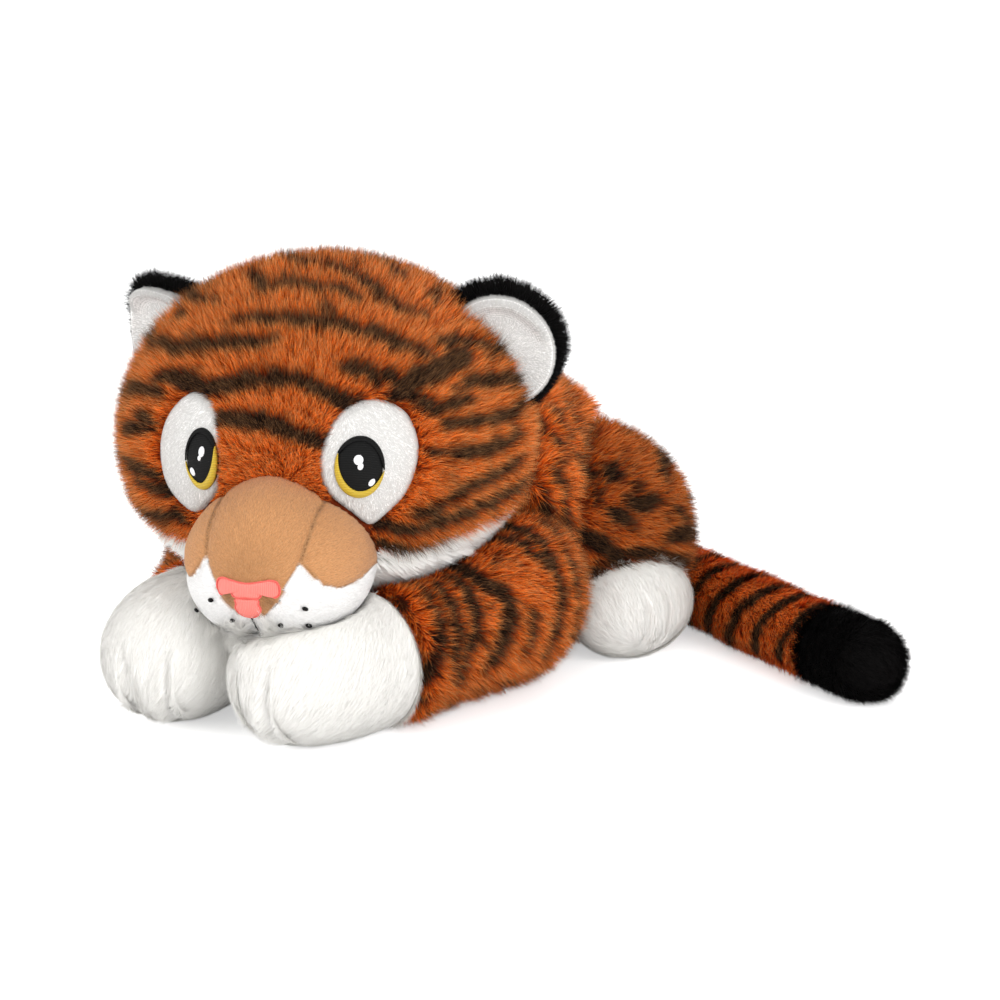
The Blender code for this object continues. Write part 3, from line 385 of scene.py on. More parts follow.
def pile_tree():
    """Strands of pile: flat tapered blades that lie over along the comb and lean together in tufts."""
    group = blank_tree(
        "pile",
        ("Strands per square metre", "Length", "Width", "Lay", "Clump", "Clump size", "Ragged", "Bend"),
        ("Seed", "Rows"))
    nodes, links = group.nodes, group.links
    given = nodes.new("NodeGroupInput")
    result = nodes.new("NodeGroupOutput")

    def put(source, target):
        if isinstance(source, (int, float, tuple)):
            target.default_value = source
        else:
            links.new(source, target)

    def sum_of(kind, operation, *terms):
        node = nodes.new(kind)
        node.operation = operation
        for index, term in enumerate(terms):
            put(term, node.inputs[index])
        return node.outputs[0]

    def number(operation, *terms):
        return sum_of("ShaderNodeMath", operation, *terms)

    def vector(operation, *terms):
        return sum_of("ShaderNodeVectorMath", operation, *terms)

    def scaled(source, amount):
        node = nodes.new("ShaderNodeVectorMath")
        node.operation = "SCALE"
        put(source, node.inputs[0])
        put(amount, node.inputs["Scale"])
        return node.outputs[0]

    def named(label, kind):
        node = nodes.new("GeometryNodeInputNamedAttribute")
        node.data_type = kind
        node.inputs["Name"].default_value = label
        return node.outputs["Attribute"]

    def kept(geometry, label, kind, value):
        node = nodes.new("GeometryNodeStoreNamedAttribute")
        node.data_type = kind
        node.domain = "POINT"
        node.inputs["Name"].default_value = label
        links.new(geometry, node.inputs["Geometry"])
        put(value, node.inputs["Value"])
        return node.outputs["Geometry"]

    def chance(kind, low, high, step):
        node = nodes.new("FunctionNodeRandomValue")
        node.data_type = kind
        first = {"FLOAT": 2, "FLOAT_VECTOR": 0}[kind]
        put(low, node.inputs[first])
        put(high, node.inputs[first + 1])
        put(number("ADD", given.outputs["Seed"], step), node.inputs["Seed"])
        return node.outputs[{"FLOAT": 1, "FLOAT_VECTOR": 0}[kind]]

    grid = nodes.new("GeometryNodeMeshGrid")
    for label, value in (("Size X", 1.0), ("Size Y", 1.0), ("Vertices X", 2)):
        grid.inputs[label].default_value = value
    links.new(given.outputs["Rows"], grid.inputs["Vertices Y"])
    place = nodes.new("GeometryNodeInputPosition")
    split = nodes.new("ShaderNodeSeparateXYZ")
    links.new(place.outputs[0], split.inputs[0])
    up = number("ADD", split.outputs["Y"], 0.5)
    taper = number("SUBTRACT", 1.0, number("POWER", up, 2.0))
    join = nodes.new("ShaderNodeCombineXYZ")
    links.new(number("MULTIPLY", split.outputs["X"], taper), join.inputs["X"])
    links.new(up, join.inputs["Y"])
    links.new(number("MULTIPLY", number("MULTIPLY", given.outputs["Bend"], -1.0), number("POWER", up, 2.0)),
              join.inputs["Z"])
    blade = kept(grid.outputs["Mesh"], "height", "FLOAT", up)
    blade = kept(blade, "across", "FLOAT", split.outputs["X"])
    shape = nodes.new("GeometryNodeSetPosition")
    links.new(blade, shape.inputs["Geometry"])
    links.new(join.outputs[0], shape.inputs["Position"])
    weld = nodes.new("GeometryNodeMergeByDistance")
    weld.inputs["Distance"].default_value = 0.0001
    links.new(shape.outputs["Geometry"], weld.inputs["Geometry"])

    scatter = nodes.new("GeometryNodeDistributePointsOnFaces")
    scatter.distribute_method = "RANDOM"
    links.new(given.outputs["Geometry"], scatter.inputs["Mesh"])
    links.new(number("MULTIPLY", given.outputs["Strands per square metre"], named("cover", "FLOAT")),
              scatter.inputs["Density"])
    links.new(given.outputs["Seed"], scatter.inputs["Seed"])
    facing = scatter.outputs["Normal"]
    spots = kept(scatter.outputs["Points"], "root", "FLOAT_VECTOR", place.outputs[0])
    spots = kept(spots, "facing", "FLOAT_VECTOR", facing)
    spots = kept(spots, "shade", "FLOAT", chance("FLOAT", 0.0, 1.0, 5))
    facing = named("facing", "FLOAT_VECTOR")
    tufts = nodes.new("ShaderNodeTexVoronoi")
    links.new(place.outputs[0], tufts.inputs["Vector"])
    links.new(number("DIVIDE", 1.0, given.outputs["Clump size"]), tufts.inputs["Scale"])
    gather = scaled(vector("SUBTRACT", tufts.outputs["Position"], place.outputs[0]),
                    number("DIVIDE", given.outputs["Clump"], given.outputs["Clump size"]))
    stand = scaled(facing, number("SUBTRACT", 1.0, given.outputs["Lay"]))
    lie = scaled(named("comb", "FLOAT_VECTOR"), given.outputs["Lay"])
    stray = scaled(chance("FLOAT_VECTOR", (-1.0, -1.0, -1.0), (1.0, 1.0, 1.0), 11), given.outputs["Ragged"])
    along = vector("NORMALIZE", vector("ADD", vector("ADD", stand, lie), vector("ADD", gather, stray)))
    twist = scaled(chance("FLOAT_VECTOR", (-1.0, -1.0, -1.0), (1.0, 1.0, 1.0), 17),
                   number("MULTIPLY", given.outputs["Ragged"], 4.5))
    flat = vector("ADD", facing, twist)
    aim = nodes.new("FunctionNodeAxesToRotation")
    aim.primary_axis = "Y"
    aim.secondary_axis = "Z"
    links.new(along, aim.inputs["Primary Axis"])
    links.new(flat, aim.inputs["Secondary Axis"])
    grow = number("MULTIPLY", number("MULTIPLY", given.outputs["Length"], named("pile", "FLOAT")),
                  chance("FLOAT", 0.50, 1.36, 23))
    size = nodes.new("ShaderNodeCombineXYZ")
    links.new(number("MULTIPLY", given.outputs["Width"], chance("FLOAT", 0.7, 1.25, 29)), size.inputs["X"])
    links.new(grow, size.inputs["Y"])
    links.new(grow, size.inputs["Z"])
    plant = nodes.new("GeometryNodeInstanceOnPoints")
    links.new(spots, plant.inputs["Points"])
    links.new(weld.outputs["Geometry"], plant.inputs["Instance"])
    links.new(aim.outputs["Rotation"], plant.inputs["Rotation"])
    links.new(size.outputs[0], plant.inputs["Scale"])
    real = nodes.new("GeometryNodeRealizeInstances")
    links.new(plant.outputs["Instances"], real.inputs["Geometry"])
    dress = nodes.new("GeometryNodeSetMaterial")
    links.new(real.outputs["Geometry"], dress.inputs["Geometry"])
    links.new(given.outputs["Material"], dress.inputs["Material"])
    links.new(dress.outputs["Geometry"], result.inputs["Geometry"])
    return group


pile_nodes = pile_tree()


def made_real(source, group, values, name):
    """Run a node tree on a copy of a mesh and keep what it makes as a plain mesh."""
    holder = show(name + " source", source.copy())
    change = holder.modifiers.new("making", "NODES")
    change.node_group = group
    for item in group.interface.items_tree:
        if item.item_type == "SOCKET" and item.in_out == "INPUT" and item.name in values:
            change[item.identifier] = values[item.name]
    bpy.context.view_layer.update()
    ready = holder.evaluated_get(bpy.context.evaluated_depsgraph_get())
    mesh = bpy.data.meshes.new_from_object(ready)
    mesh.name = name
    spent = holder.data
    bpy.data.objects.remove(holder)
    bpy.data.meshes.remove(spent)
    return mesh


def grow_pile(skin, name, material, comb, pile, cover, stripe=None, tint=None, density=1.5e6,
              length=full_pile, width=strand_width, lay=0.42, clump=0.26, clump_size=0.007, ragged=0.24,
              bend=0.16, rows=2, dull=0.52, light=1.40, seed=1):
    """Fur on a skin: comb is the way it lies, pile its share of the length, and cover where it grows."""
    mesh = skin.data
    out = normals(mesh)
    comb = comb - out * (comb * out).sum(-1, keepdims=True)
    store(mesh, "comb", unit(comb))
    store(mesh, "pile", pile)
    store(mesh, "cover", cover)
    fur = made_real(mesh, pile_nodes, {
        "Strands per square metre": density, "Length": length, "Width": width, "Lay": lay, "Clump": clump,
        "Clump size": clump_size, "Ragged": ragged, "Bend": bend, "Seed": seed, "Rows": rows,
        "Material": material}, name)
    each = 2 * rows - 1
    spots = places(fur)
    height = read(fur, "height")
    root = read(fur, "root", 3)
    facing = read(fur, "facing", 3)
    across = read(fur, "across")
    count = len(spots) // each
    low = np.maximum(spots[:, 2], pile_floor * height)
    spots[:, 2] = np.maximum(low, floor_gap)
    fur.vertices.foreach_set("co", np.ravel(spots))
    fan = spots.reshape(count, each, 3)
    tip = fan[np.arange(count), height.reshape(count, each).argmax(1)]
    base = root.reshape(count, each, 3)[:, 0]
    out = facing.reshape(count, each, 3)[:, 0]
    aside = (tip - base) - out * ((tip - base) * out).sum(-1, keepdims=True)
    dye = np.zeros(count) if stripe is None else stripe(base + aside * dye_aside)
    store(fur, "stripe", np.repeat(dye, each))
    shade = dull + (light - dull) * read(fur, "shade").reshape(count, each)[:, 0]
    store(fur, "shade", np.repeat(shade if tint is None else shade * tint(base), each))
    dice = np.random.default_rng(seed + 100)
    lean = unit(out + strand_tilt * unit(dice.normal(size=(count, 3))) + tip_tilt * unit(tip - base))
    fur.shade_smooth()
    side = math.ceil(math.sqrt(count))
    order = np.repeat(np.arange(count), each)
    u = (order % side + 0.5 + across * (1 - 2 * strand_inset)) / side
    v = (order // side + strand_inset + height * (1 - 2 * strand_inset)) / side
    lay_flat(fur, "OFBake", np.stack((u, v), -1))
    for spare in ("root", "facing", "comb", "pile", "cover", "across", "pressed"):
        if fur.attributes.get(spare):
            fur.attributes.remove(fur.attributes[spare])
    fur.normals_split_custom_set_from_vertices(np.repeat(lean, each, 0).tolist())
    return show(name, fur)


def laid_on(skin, strokes, place):
    """Strokes, each a half width in millimetres and its line, moved to their place and then to the skin."""
    mesh = skin.data
    tree = BVHTree.FromPolygons(places(mesh).tolist(), [tuple(face.vertices) for face in mesh.polygons])
    laid = []
    for half_width, *line in strokes:
        line = place(np.array(line, float))
        fine = [line[:1]]
        for start, stop in zip(line[:-1], line[1:]):
            steps = max(1, int(np.linalg.norm(stop - start) / 0.004))
            fine.append(start + (stop - start) * (np.arange(1, steps + 1) / steps)[:, None])
        laid.append((half_width / 1000, np.array([tree.find_nearest(spot)[0] for spot in np.vstack(fine)])))
    return laid


def stroke_dye(points, strokes, soft=0.0014, ragged=0.0008, size=0.006, seed=7):
    """How dark each place is dyed by brush-like strokes, each a half width and the places that it passes."""
    dye = np.zeros(len(points))
    edge = wobble(points, size, seed) * ragged + wobble(points, fine_size, seed + 1) * fine_edge
    for half_width, line in strokes:
        line = np.asarray(line, float)
        if len(line) == 1:
            line = np.vstack((line, line + 1e-5))
        lengths = np.linalg.norm(line[1:] - line[:-1], axis=1)
        total = max(lengths.sum(), 1e-6)
        best = np.full(len(points), -1.0)
        passed = 0.0
        for start, stop, run in zip(line[:-1], line[1:], lengths):
            way = stop - start
            share = np.clip(((points - start) @ way) / max(run * run, 1e-12), 0, 1)
            gap = np.linalg.norm(points - start - share[:, None] * way, axis=1)
            reach = (passed + share * run) / total
            full = np.sqrt(np.clip(4 * reach * (1 - reach), 0, 1))
            wide = half_width * (1 - stroke_taper + stroke_taper * full)
            if total < shortest_stroke:
                wide = half_width
            best = np.maximum(best, stroke_over + wide + edge - gap)
            passed += run
        dye = np.maximum(dye, ease(-soft, soft, best))
    return dye


# Pile colours: the dark roots and light tips are partly the fabric's dye and partly painted shade deep in the
# pile and painted light through the tips.
orange_pile = pile_material(
    "striped long pile",
    ((0.14, 0.011, 0.001), (0.60, 0.066, 0.003), (0.95, 0.180, 0.014), (0.72, 0.305, 0.105)),
    ((0.008, 0.003, 0.001), (0.011, 0.004, 0.002), (0.022, 0.009, 0.005), (0.230, 0.112, 0.048)), sheen=0.0)
white_pile = pile_material(
    "white long pile",
    ((0.955, 0.94, 0.905), (0.982, 0.968, 0.93), (0.986, 0.972, 0.938), (0.986, 0.974, 0.942)), sheen=0.25)
# The striped backing is dyed as deep as the pile's roots, far below its middle: painted shade in the gaps
# between the strands.
orange_backing = knit_material("striped backing", (0.16, 0.020, 0.002), (0.010, 0.006, 0.004))
white_backing = knit_material("white backing", (0.97, 0.955, 0.935), (0.97, 0.955, 0.935), shadow=0.95)

leg_yaws = {"left": -8.0, "right": 19.0}
body_near = [(head_middle, np.full(3, neck_seat), 0.0)]
body_near += [(tail_root_place, np.full(3, tail_root_size + skin_gap), 0.0)]
body_near += [(shoulders[side], shoulder_ball, leg_yaws[side]) for side in shoulders]
body_near += [(hips[side], haunch_sizes + skin_gap, 0.0) for side in hips]
body_skin = stuffed_form(
    "body_skin", body_middle, body_sizes, orange_backing, heart=body_heart, near=body_near,
    low=belly_seam + seam_half)
belly_skin = stuffed_form(
    "belly_skin", body_middle, body_sizes, white_backing, heart=belly_heart, near=body_near,
    low=0.0, high=belly_seam - seam_half)


def body_stripes():
    """Bands that run from the spine down the flanks, in pairs, some of them broken."""
    dice = np.random.default_rng(31)
    strokes = []
    for index, back in enumerate(np.arange(-0.050, 0.088, 0.0125)):
        for side in (-1, 1):
            start = dice.uniform(4, 14)
            stop = dice.uniform(88, 112) if side < 0 else dice.uniform(32, 40)
            gap = dice.uniform(35, 70)
            runs = ((start, stop),) if side > 0 or index % 3 else ((start, gap), (gap + 13, stop))
            for low, high in runs:
                line = []
                for degrees in np.linspace(low, high, 8):
                    angle = math.radians(degrees)
                    y = back + 0.012 * math.sin(angle * 0.9) + 0.0015 * math.sin(3 * angle + index)
                    narrow = math.sqrt(max(0.0, 1 - (y / body_sizes[1]) ** 2))
                    line.append((
                        side * math.sin(angle) * body_sizes[0] * narrow, y,
                        body_middle[2] + math.cos(angle) * body_sizes[2] * narrow))
                strokes.append((dice.uniform(2.2, 3.2), *line))
    return strokes


flank_marks = (
    (2.8, (66, 1, 117), (71, 3, 109), (75, 4, 99)),
    (3.0, (57, 29, 120), (65, 28, 112), (69, 28, 104), (75, 24, 94), (78, 18, 81), (79, 14, 68)),
    (3.0, (77, -15, 91), (79, -11, 79), (76, -1, 68)),
    (3.0, (62, 41, 112), (68, 37, 99), (74, 32, 84), (72, 26, 66)),
    (2.3, (79, -2, 86), (81, 1, 71), (79, 7, 61)), (2.3, (76, -7, 97), (79, -1, 88)),
    (2.6, (48, 40, 126), (60, 42, 114)), (2.6, (56, 8, 125), (64, 14, 116), (73, 14, 100)))
body_strokes = laid_on(body_skin, body_stripes(), np.array)
body_strokes += laid_on(body_skin, flank_marks, lambda line: line / 1000)


def flecks(points, size, seed, low=0.70, high=1.05, most=0.9):
    """Loose darker flecks, as where dyed strands have been brushed over the plain ones."""
    return most * ease(low, high, wobble(points, size, seed) + 0.45 * wobble(points, fine_size, seed + 1))


def body_dye(points):
    return np.maximum(stroke_dye(points, body_strokes, seed=41), flecks(points, 0.009, 43))


spots = places(body_skin.data)
for side in (-1, 1):
    mirror = np.array((side, 1, 1))
    spots = puff(
        spots, flank_puff_place * mirror, flank_puff_way * mirror, flank_puff_rise, flank_puff_spread)
move_points(body_skin.data, spots)
pressed = read(body_skin.data, "pressed")
store(body_skin.data, "stripe", body_dye(spots))
body_comb = (0.0, 1.0, -0.55)
body_pile = 1.0 - 0.72 * pressed
hidden_seat = np.linalg.norm(spots - head_middle, axis=1) < neck_seat + 0.002
open_body = np.where(hidden_seat, 0.12, np.where(pressed > 0.5, 0.25, 1.0))
for side, seed in (("left", 3), ("right", 4)):
    half = (spots[:, 0] >= 0) == (side == "left")
    fur = grow_pile(
        body_skin, "body_fur_" + side, orange_pile, body_comb, body_pile, open_body * half, body_dye,
        density=3.3e6, dull=0.72, light=1.50, seed=seed)
    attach(fur, "torso")
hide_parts("body_cover", "body_stuffing")
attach(body_skin, "torso")
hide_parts("belly_panel")
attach(belly_skin, "torso")

# Neck: the gathered ring of striped cover where the head is sewn to the body. The thread of the
# seam draws it tight over the filling, so that it stands in small folds.
neck_slope, neck_turn = 27.0, 6.0
neck_radius = 0.0198
neck_way = turned(neck_turn) @ (
    0.0, math.cos(math.radians(neck_slope)), -math.sin(math.radians(neck_slope)))
neck_side = unit(np.cross(neck_way, (0, 0, 1.0)))
neck_up = np.cross(neck_side, neck_way)
neck_rows, neck_columns = 9, 96
neck_folds, fold_depth, waist_depth = 16, 0.035, 0.05
rings = []
for row in range(neck_rows):
    share = row / (neck_rows - 1)
    for angle in 2 * math.pi * np.arange(neck_columns) / neck_columns:
        fold = 1 + fold_depth * math.cos(neck_folds * angle) * (0.4 + abs(2 * share - 1))
        waist = 1 - waist_depth * math.sin(math.pi * share)
        spoke = (neck_side * math.cos(angle) + neck_up * math.sin(angle)) * neck_radius * fold * waist
        start = head_middle + spoke
        _, near = way_through(start, neck_way, head_middle, head_sizes + 2 * seam_half, head_yaw)
        _, far = way_through(start, neck_way, head_middle, np.full(3, neck_seat - skin_gap))
        rings.append(start + neck_way * (near + (far - near) * share))
work = bmesh.new()
rings = np.reshape(rings, (neck_rows, neck_columns, 3))
loops = [[work.verts.new(spot) for spot in ring] for ring in rings]
for near_loop, far_loop in zip(loops, loops[1:]):
    for column in range(neck_columns):
        beside = (column + 1) % neck_columns
        work.faces.new((near_loop[column], near_loop[beside], far_loop[beside], far_loop[column]))
work.faces.new(loops[0])
work.faces.new(list(reversed(loops[-1])))
bmesh.ops.recalc_face_normals(work, faces=work.faces)
mesh = bpy.data.meshes.new("neck_gather")
work.to_mesh(mesh)
work.free()
mesh.shade_smooth()
store(mesh, "stripe", 0.0)
neck_gather = show("neck_gather", mesh, orange_backing)
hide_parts("neck_plug")
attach(neck_gather, "neck")

# Front legs: one bag each, striped down to the wrist and white over the paw, whose toes are
# drawn in by two tight rows of stitching. Their upper sides are dented by the chin that lies on them.
wrist = 0.0740
seam_round, leg_slimmed = 0.004, 0.115
toe_seams, toe_width, toe_depth = (-0.0105, 0.0095), 0.0022, 0.0036
chin_room, muzzle_room = 0.0050, 0.0024
leg_rows = (
    (-0.0430, 0.0000, 0.0000, 0.0), (-0.0390, 0.0182, 0.0186, 0.0), (-0.0276, 0.0329, 0.0337, 0.0),
    (-0.0089, 0.0421, 0.0430, 0.0), (0.0200, 0.0425, 0.0415, -0.0020), (0.0500, 0.0345, 0.0350, -0.0090),
    (0.0740, 0.0325, 0.0310, -0.0130), (0.1060, 0.0340, 0.0318, -0.0122), (0.1312, 0.0279, 0.0262, -0.0122),
    (0.1459, 0.0144, 0.0140, -0.0122), (0.1500, 0.0000, 0.0000, -0.0122))
muzzle_sizes = np.array((0.0424, 0.0440, 0.0341))
muzzle_offset = np.array((0.0, -0.0770, -0.0396))
muzzle_middle = head_middle + turned(head_yaw) @ muzzle_offset


def leg_size(reach):
    """Half width, half height and middle height of a leg at a place along it."""
    rows = np.array(leg_rows)
    knots = rows[:, 0]
    index = np.clip(np.searchsorted(knots, reach) - 1, 0, len(knots) - 2)
    before, after = np.maximum(index - 1, 0), np.minimum(index + 2, len(knots) - 1)
    t = (reach - knots[index]) / (knots[index + 1] - knots[index])
    out = []
    for column in (1, 2, 3):
        v = rows[:, column]
        span = knots[index + 1] - knots[index]
        slope_in = (v[index + 1] - v[before]) / (knots[index + 1] - knots[before]) * span
        slope_out = (v[after] - v[index]) / (knots[after] - knots[index]) * span
        out.append((2 * t**3 - 3 * t**2 + 1) * v[index] + (t**3 - 2 * t**2 + t) * slope_in
                   + (3 * t**2 - 2 * t**3) * v[index + 1] + (t**3 - t**2) * slope_out)
    return out


def ring_mesh(name, spots, count_round):
    """A closed skin from rings of places, each with as many, and the middles of its two ends."""
    rows = (len(spots) - 2) // count_round
    first, last = rows * count_round, rows * count_round + 1
    back = (rows - 1) * count_round
    faces = []
    for row in range(rows - 1):
        for column in range(count_round):
            a, b = row * count_round + column, row * count_round + (column + 1) % count_round
            faces.append((a, a + count_round, b + count_round, b))
    for column in range(count_round):
        beside = (column + 1) % count_round
        faces.append((first, column, beside))
        faces.append((last, back + beside, back + column))
    mesh = bpy.data.meshes.new(name)
    mesh.from_pydata(spots.tolist(), [], faces)
    work = bmesh.new()
    work.from_mesh(mesh)
    bmesh.ops.recalc_face_normals(work, faces=work.faces)
    work.to_mesh(mesh)
    work.free()
    mesh.update()
    mesh.shade_smooth()
    return mesh


def drawn_in(gap, size):
    """How wide a bag still is near its seam, where it is rounded off over a short length."""
    return np.sqrt(1 - (1 - np.clip(gap / size, 0, 1)) ** 2)


def pushed_out(spots, way, middle, sizes, yaw=0.0):
    """How far each place that lies within an ellipsoid has to go along a way to leave it."""
    inside = (((spots - middle) @ turned(-yaw).T / sizes) ** 2).sum(-1) < 1
    _, out = way_through(spots, np.tile(way, (len(spots), 1)), middle, sizes, yaw)
    return np.where(inside, np.maximum(out, 0), 0)


def leg_skin(name, side, low, high, material):
    """A length of a leg as a closed bag, with its toes drawn in and its top pressed down by the chin."""
    count_round = 96
    angles = np.linspace(0, math.pi, 90)
    reaches = low + (high - low) * (1 - np.cos(angles)) / 2
    reaches = reaches[1:-1]
    wide, tall, middle = leg_size(reaches)
    slim = 1 - leg_slimmed * ease(-0.046, -0.028, reaches) * ease(0.076, 0.050, reaches)
    wide, tall = wide * slim, tall * slim
    if low > leg_rows[0][0]:
        close = drawn_in(reaches - low, seam_round)
        wide, tall = wide * close, tall * close
    if high < leg_rows[-1][0]:
        close = drawn_in(high - reaches, seam_round)
        wide, tall = wide * close, tall * close
    around = np.linspace(0, 2 * math.pi, count_round, endpoint=False)
    x = wide[:, None] * np.cos(around)
    z = tall[:, None] * np.sin(around) + middle[:, None]
    y = np.repeat(-reaches[:, None], count_round, 1)
    rings = np.stack((x, y, z), -1)
    ends = np.array(((0, -low, leg_size(np.array([low + 1e-6]))[2][0]),
                     (0, -high, leg_size(np.array([high - 1e-6]))[2][0])))
    spots = np.vstack((rings.reshape(-1, 3), ends))
    front = ease(0.118, 0.136, -spots[:, 1])
    up = ease(0.006, -0.010, spots[:, 2])
    for seam in toe_seams:
        bent = seam * (1 + 0.25 * (spots[:, 2] + 0.012) / 0.03)
        groove = np.exp(-((spots[:, 0] - bent) / toe_width) ** 2) * front * up
        inward = unit(np.array((0.0, -0.112, -0.014)) - spots)
        spots = spots + inward * (groove * toe_depth)[:, None]
    spots = spots @ turned(leg_yaws[side]).T + shoulders[side]
    before = spots.copy()
    for middle, sizes in ((head_middle, head_sizes + chin_room), (muzzle_middle, muzzle_sizes + muzzle_room)):
        spots[:, 2] -= pushed_out(spots, (0.0, 0.0, -1.0), middle, sizes, head_yaw)
    spots[:, 2] = np.maximum(spots[:, 2], 0.0)
    mesh = ring_mesh(name, spots, count_round)
    store(mesh, "pressed", ease(0.0002, 0.003, before[:, 2] - spots[:, 2]) * (before[:, 2] > 0.01))
    return show(name, mesh, material)


leg_strokes = (
    (3.3, (6, -12, 40), (15, -5, 37), (25, 2, 32), (33, 4, 23), (39, 4, 12), (41, 4, 1), (40, 1, -9),
     (36, -2, -20)),
    (2.6, (10, -18, 36), (18, -14, 32), (27, -6, 28), (35, -1, 19)),
    (4.0, (14, -40, 26), (21, -37, 22), (29, -33, 16), (34, -27, 11), (36, -26, 4), (37, -29, -4),
     (35, -34, -15), (34, -38, -21)),
    (2.4, (39, -15, 0), (39, -15, -7), (37, -17, -14)),
    (3.3, (20, -44, 21), (27, -43, 15), (32, -43, 7), (34, -45, -3), (34, -52, -12), (31, -53, -24)),
    (3.1, (18, -52, 19), (27, -53, 11), (32, -53, 1), (33, -57, -9), (32, -57, -20)),
    (3.1, (17, -60, 18), (26, -62, 9), (31, -64, -1), (32, -70, -11), (31, -73, -19)),
    (3.1, (20, 16, 34), (32, 18, 22), (37, 18, 4), (34, 18, -14)),
    (3.1, (-12, -60, 20), (-24, -62, 12), (-32, -60, -2), (-31, -62, -16)),
    (3.3, (-12, -36, 28), (-26, -38, 16), (-36, -34, 0), (-34, -36, -16)),
    (3.1, (-18, -12, 34), (-32, -10, 18), (-40, -10, 0), (-37, -12, -16)),
)
smooth_white = dict(
    width=0.00033, lay=0.79, clump=0.05, clump_size=0.005, ragged=0.065, dull=0.98, light=1.0)
paw_pile_length = 0.0055
for side, sign in (("left", 1.0), ("right", -1.0)):
    body = "front_leg_" + side
    arm = leg_skin("arm_skin_" + side, side, leg_rows[0][0], wrist - seam_half, orange_backing)
    paw = leg_skin("paw_skin_" + side, side, wrist + seam_half, leg_rows[-1][0], white_backing)
    leg_marks = laid_on(arm, leg_strokes, lambda line: (
        line / 1000 * (sign, 1, 1)) @ turned(leg_yaws[side]).T + shoulders[side])

    def leg_dye(points):
        return np.maximum(stroke_dye(points, leg_marks, soft=0.0018, seed=51), flecks(points, 0.010, 53))

    spots = places(arm.data)
    store(arm.data, "stripe", leg_dye(spots))
    pressed = read(arm.data, "pressed")
    outward = turned(leg_yaws[side]) @ np.array((sign * 0.35, 0.75, -0.55))
    ball = np.linalg.norm((spots - body_middle) / body_sizes, axis=1)
    buried = ease(0.98, 0.93, ball)
    head_share = np.linalg.norm((spots - head_middle) @ turned(-head_yaw).T / head_sizes, axis=1)
    clear = (head_share - 1) * head_sizes[0]
    cover = (1 - 0.9 * buried) * (1 - 0.75 * pressed)
    fur = grow_pile(
        arm, "arm_fur_" + side, orange_pile, outward,
        (0.30 + 0.60 * ease(0.004, 0.018, clear)) * (1 - 0.2 * buried), cover, leg_dye, density=4.4e6,
        seed=11 if side == "left" else 12)
    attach(fur, body)
    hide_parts("front_leg_cover_" + side, "front_leg_stuffing_" + side)
    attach(arm, body)
    store(paw.data, "stripe", 0.0)
    pressed = read(paw.data, "pressed")
    forward = turned(leg_yaws[side]) @ np.array((sign * 0.10, -0.70, -0.70))
    fur = grow_pile(
        paw, "paw_fur_" + side, white_pile, forward, 1 - 0.45 * pressed, 1 - 0.2 * pressed, density=6.2e6,
        length=paw_pile_length, seed=13 if side == "left" else 14, **smooth_white)
    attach(fur, body)
    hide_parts("front_paw_" + side)
    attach(paw, body)

# Hind legs: a round striped haunch sewn to the hip, and a white paw sewn to the front of it.
# Both are filled bags that lie on the ground, and two tight rows of stitching part the toes.
hind_paw_sizes = np.array((0.0264, 0.0352, 0.0242))
hind_paw_place = np.array((0.0900, 0.0451, 0.0237))
hind_paw_gap = 0.0005
hind_toe_seams, hind_toe_width, hind_toe_depth = (-0.014, -0.002), 0.0024, 0.0020
haunch_puff_place = np.array((0.004, -0.012, 0.048))
haunch_puff_way = np.array((0.25, 0.30, 0.92))
haunch_puff_rise, haunch_puff_spread = 0.0080, 0.018
haunch_strokes = (
    (7.5, (20, -20, 37), (22, -19, 36)), (3.4, (10, -26, 36), (16, -26, 35)),
    (4.4, (30, -20, 26), (34, -15, 23), (36, -5, 23)),
    (4.4, (16, 22, 39), (20, 25, 35), (25, 16, 37), (30, 7, 32)), (4.4, (41, -4, 7), (41, 6, 6), (34, 28, 2)),
    (4.1, (27, -30, 21), (33, -24, 18)), (3.4, (38, 8, 17), (38, 15, 10)),
    (3.2, (35, -26, 3), (40, -14, 1), (41, 4, -6), (38, 18, -10)), (3.9, (21, -41, -8), (26, -38, -2)),
    (3.4, (10, 40, 26), (24, 36, 18), (32, 30, 6)), (3.4, (4, 10, 48), (12, 2, 46)),
    (3.0, (8, -8, 47), (18, -6, 43)), (3.0, (26, 32, 22), (20, 42, 8)),
    # Painted shade: this last stroke darkens the low front of the haunch.
    (4.1, (14, -42, 14), (26, -36, 8), (33, -26, -2)))
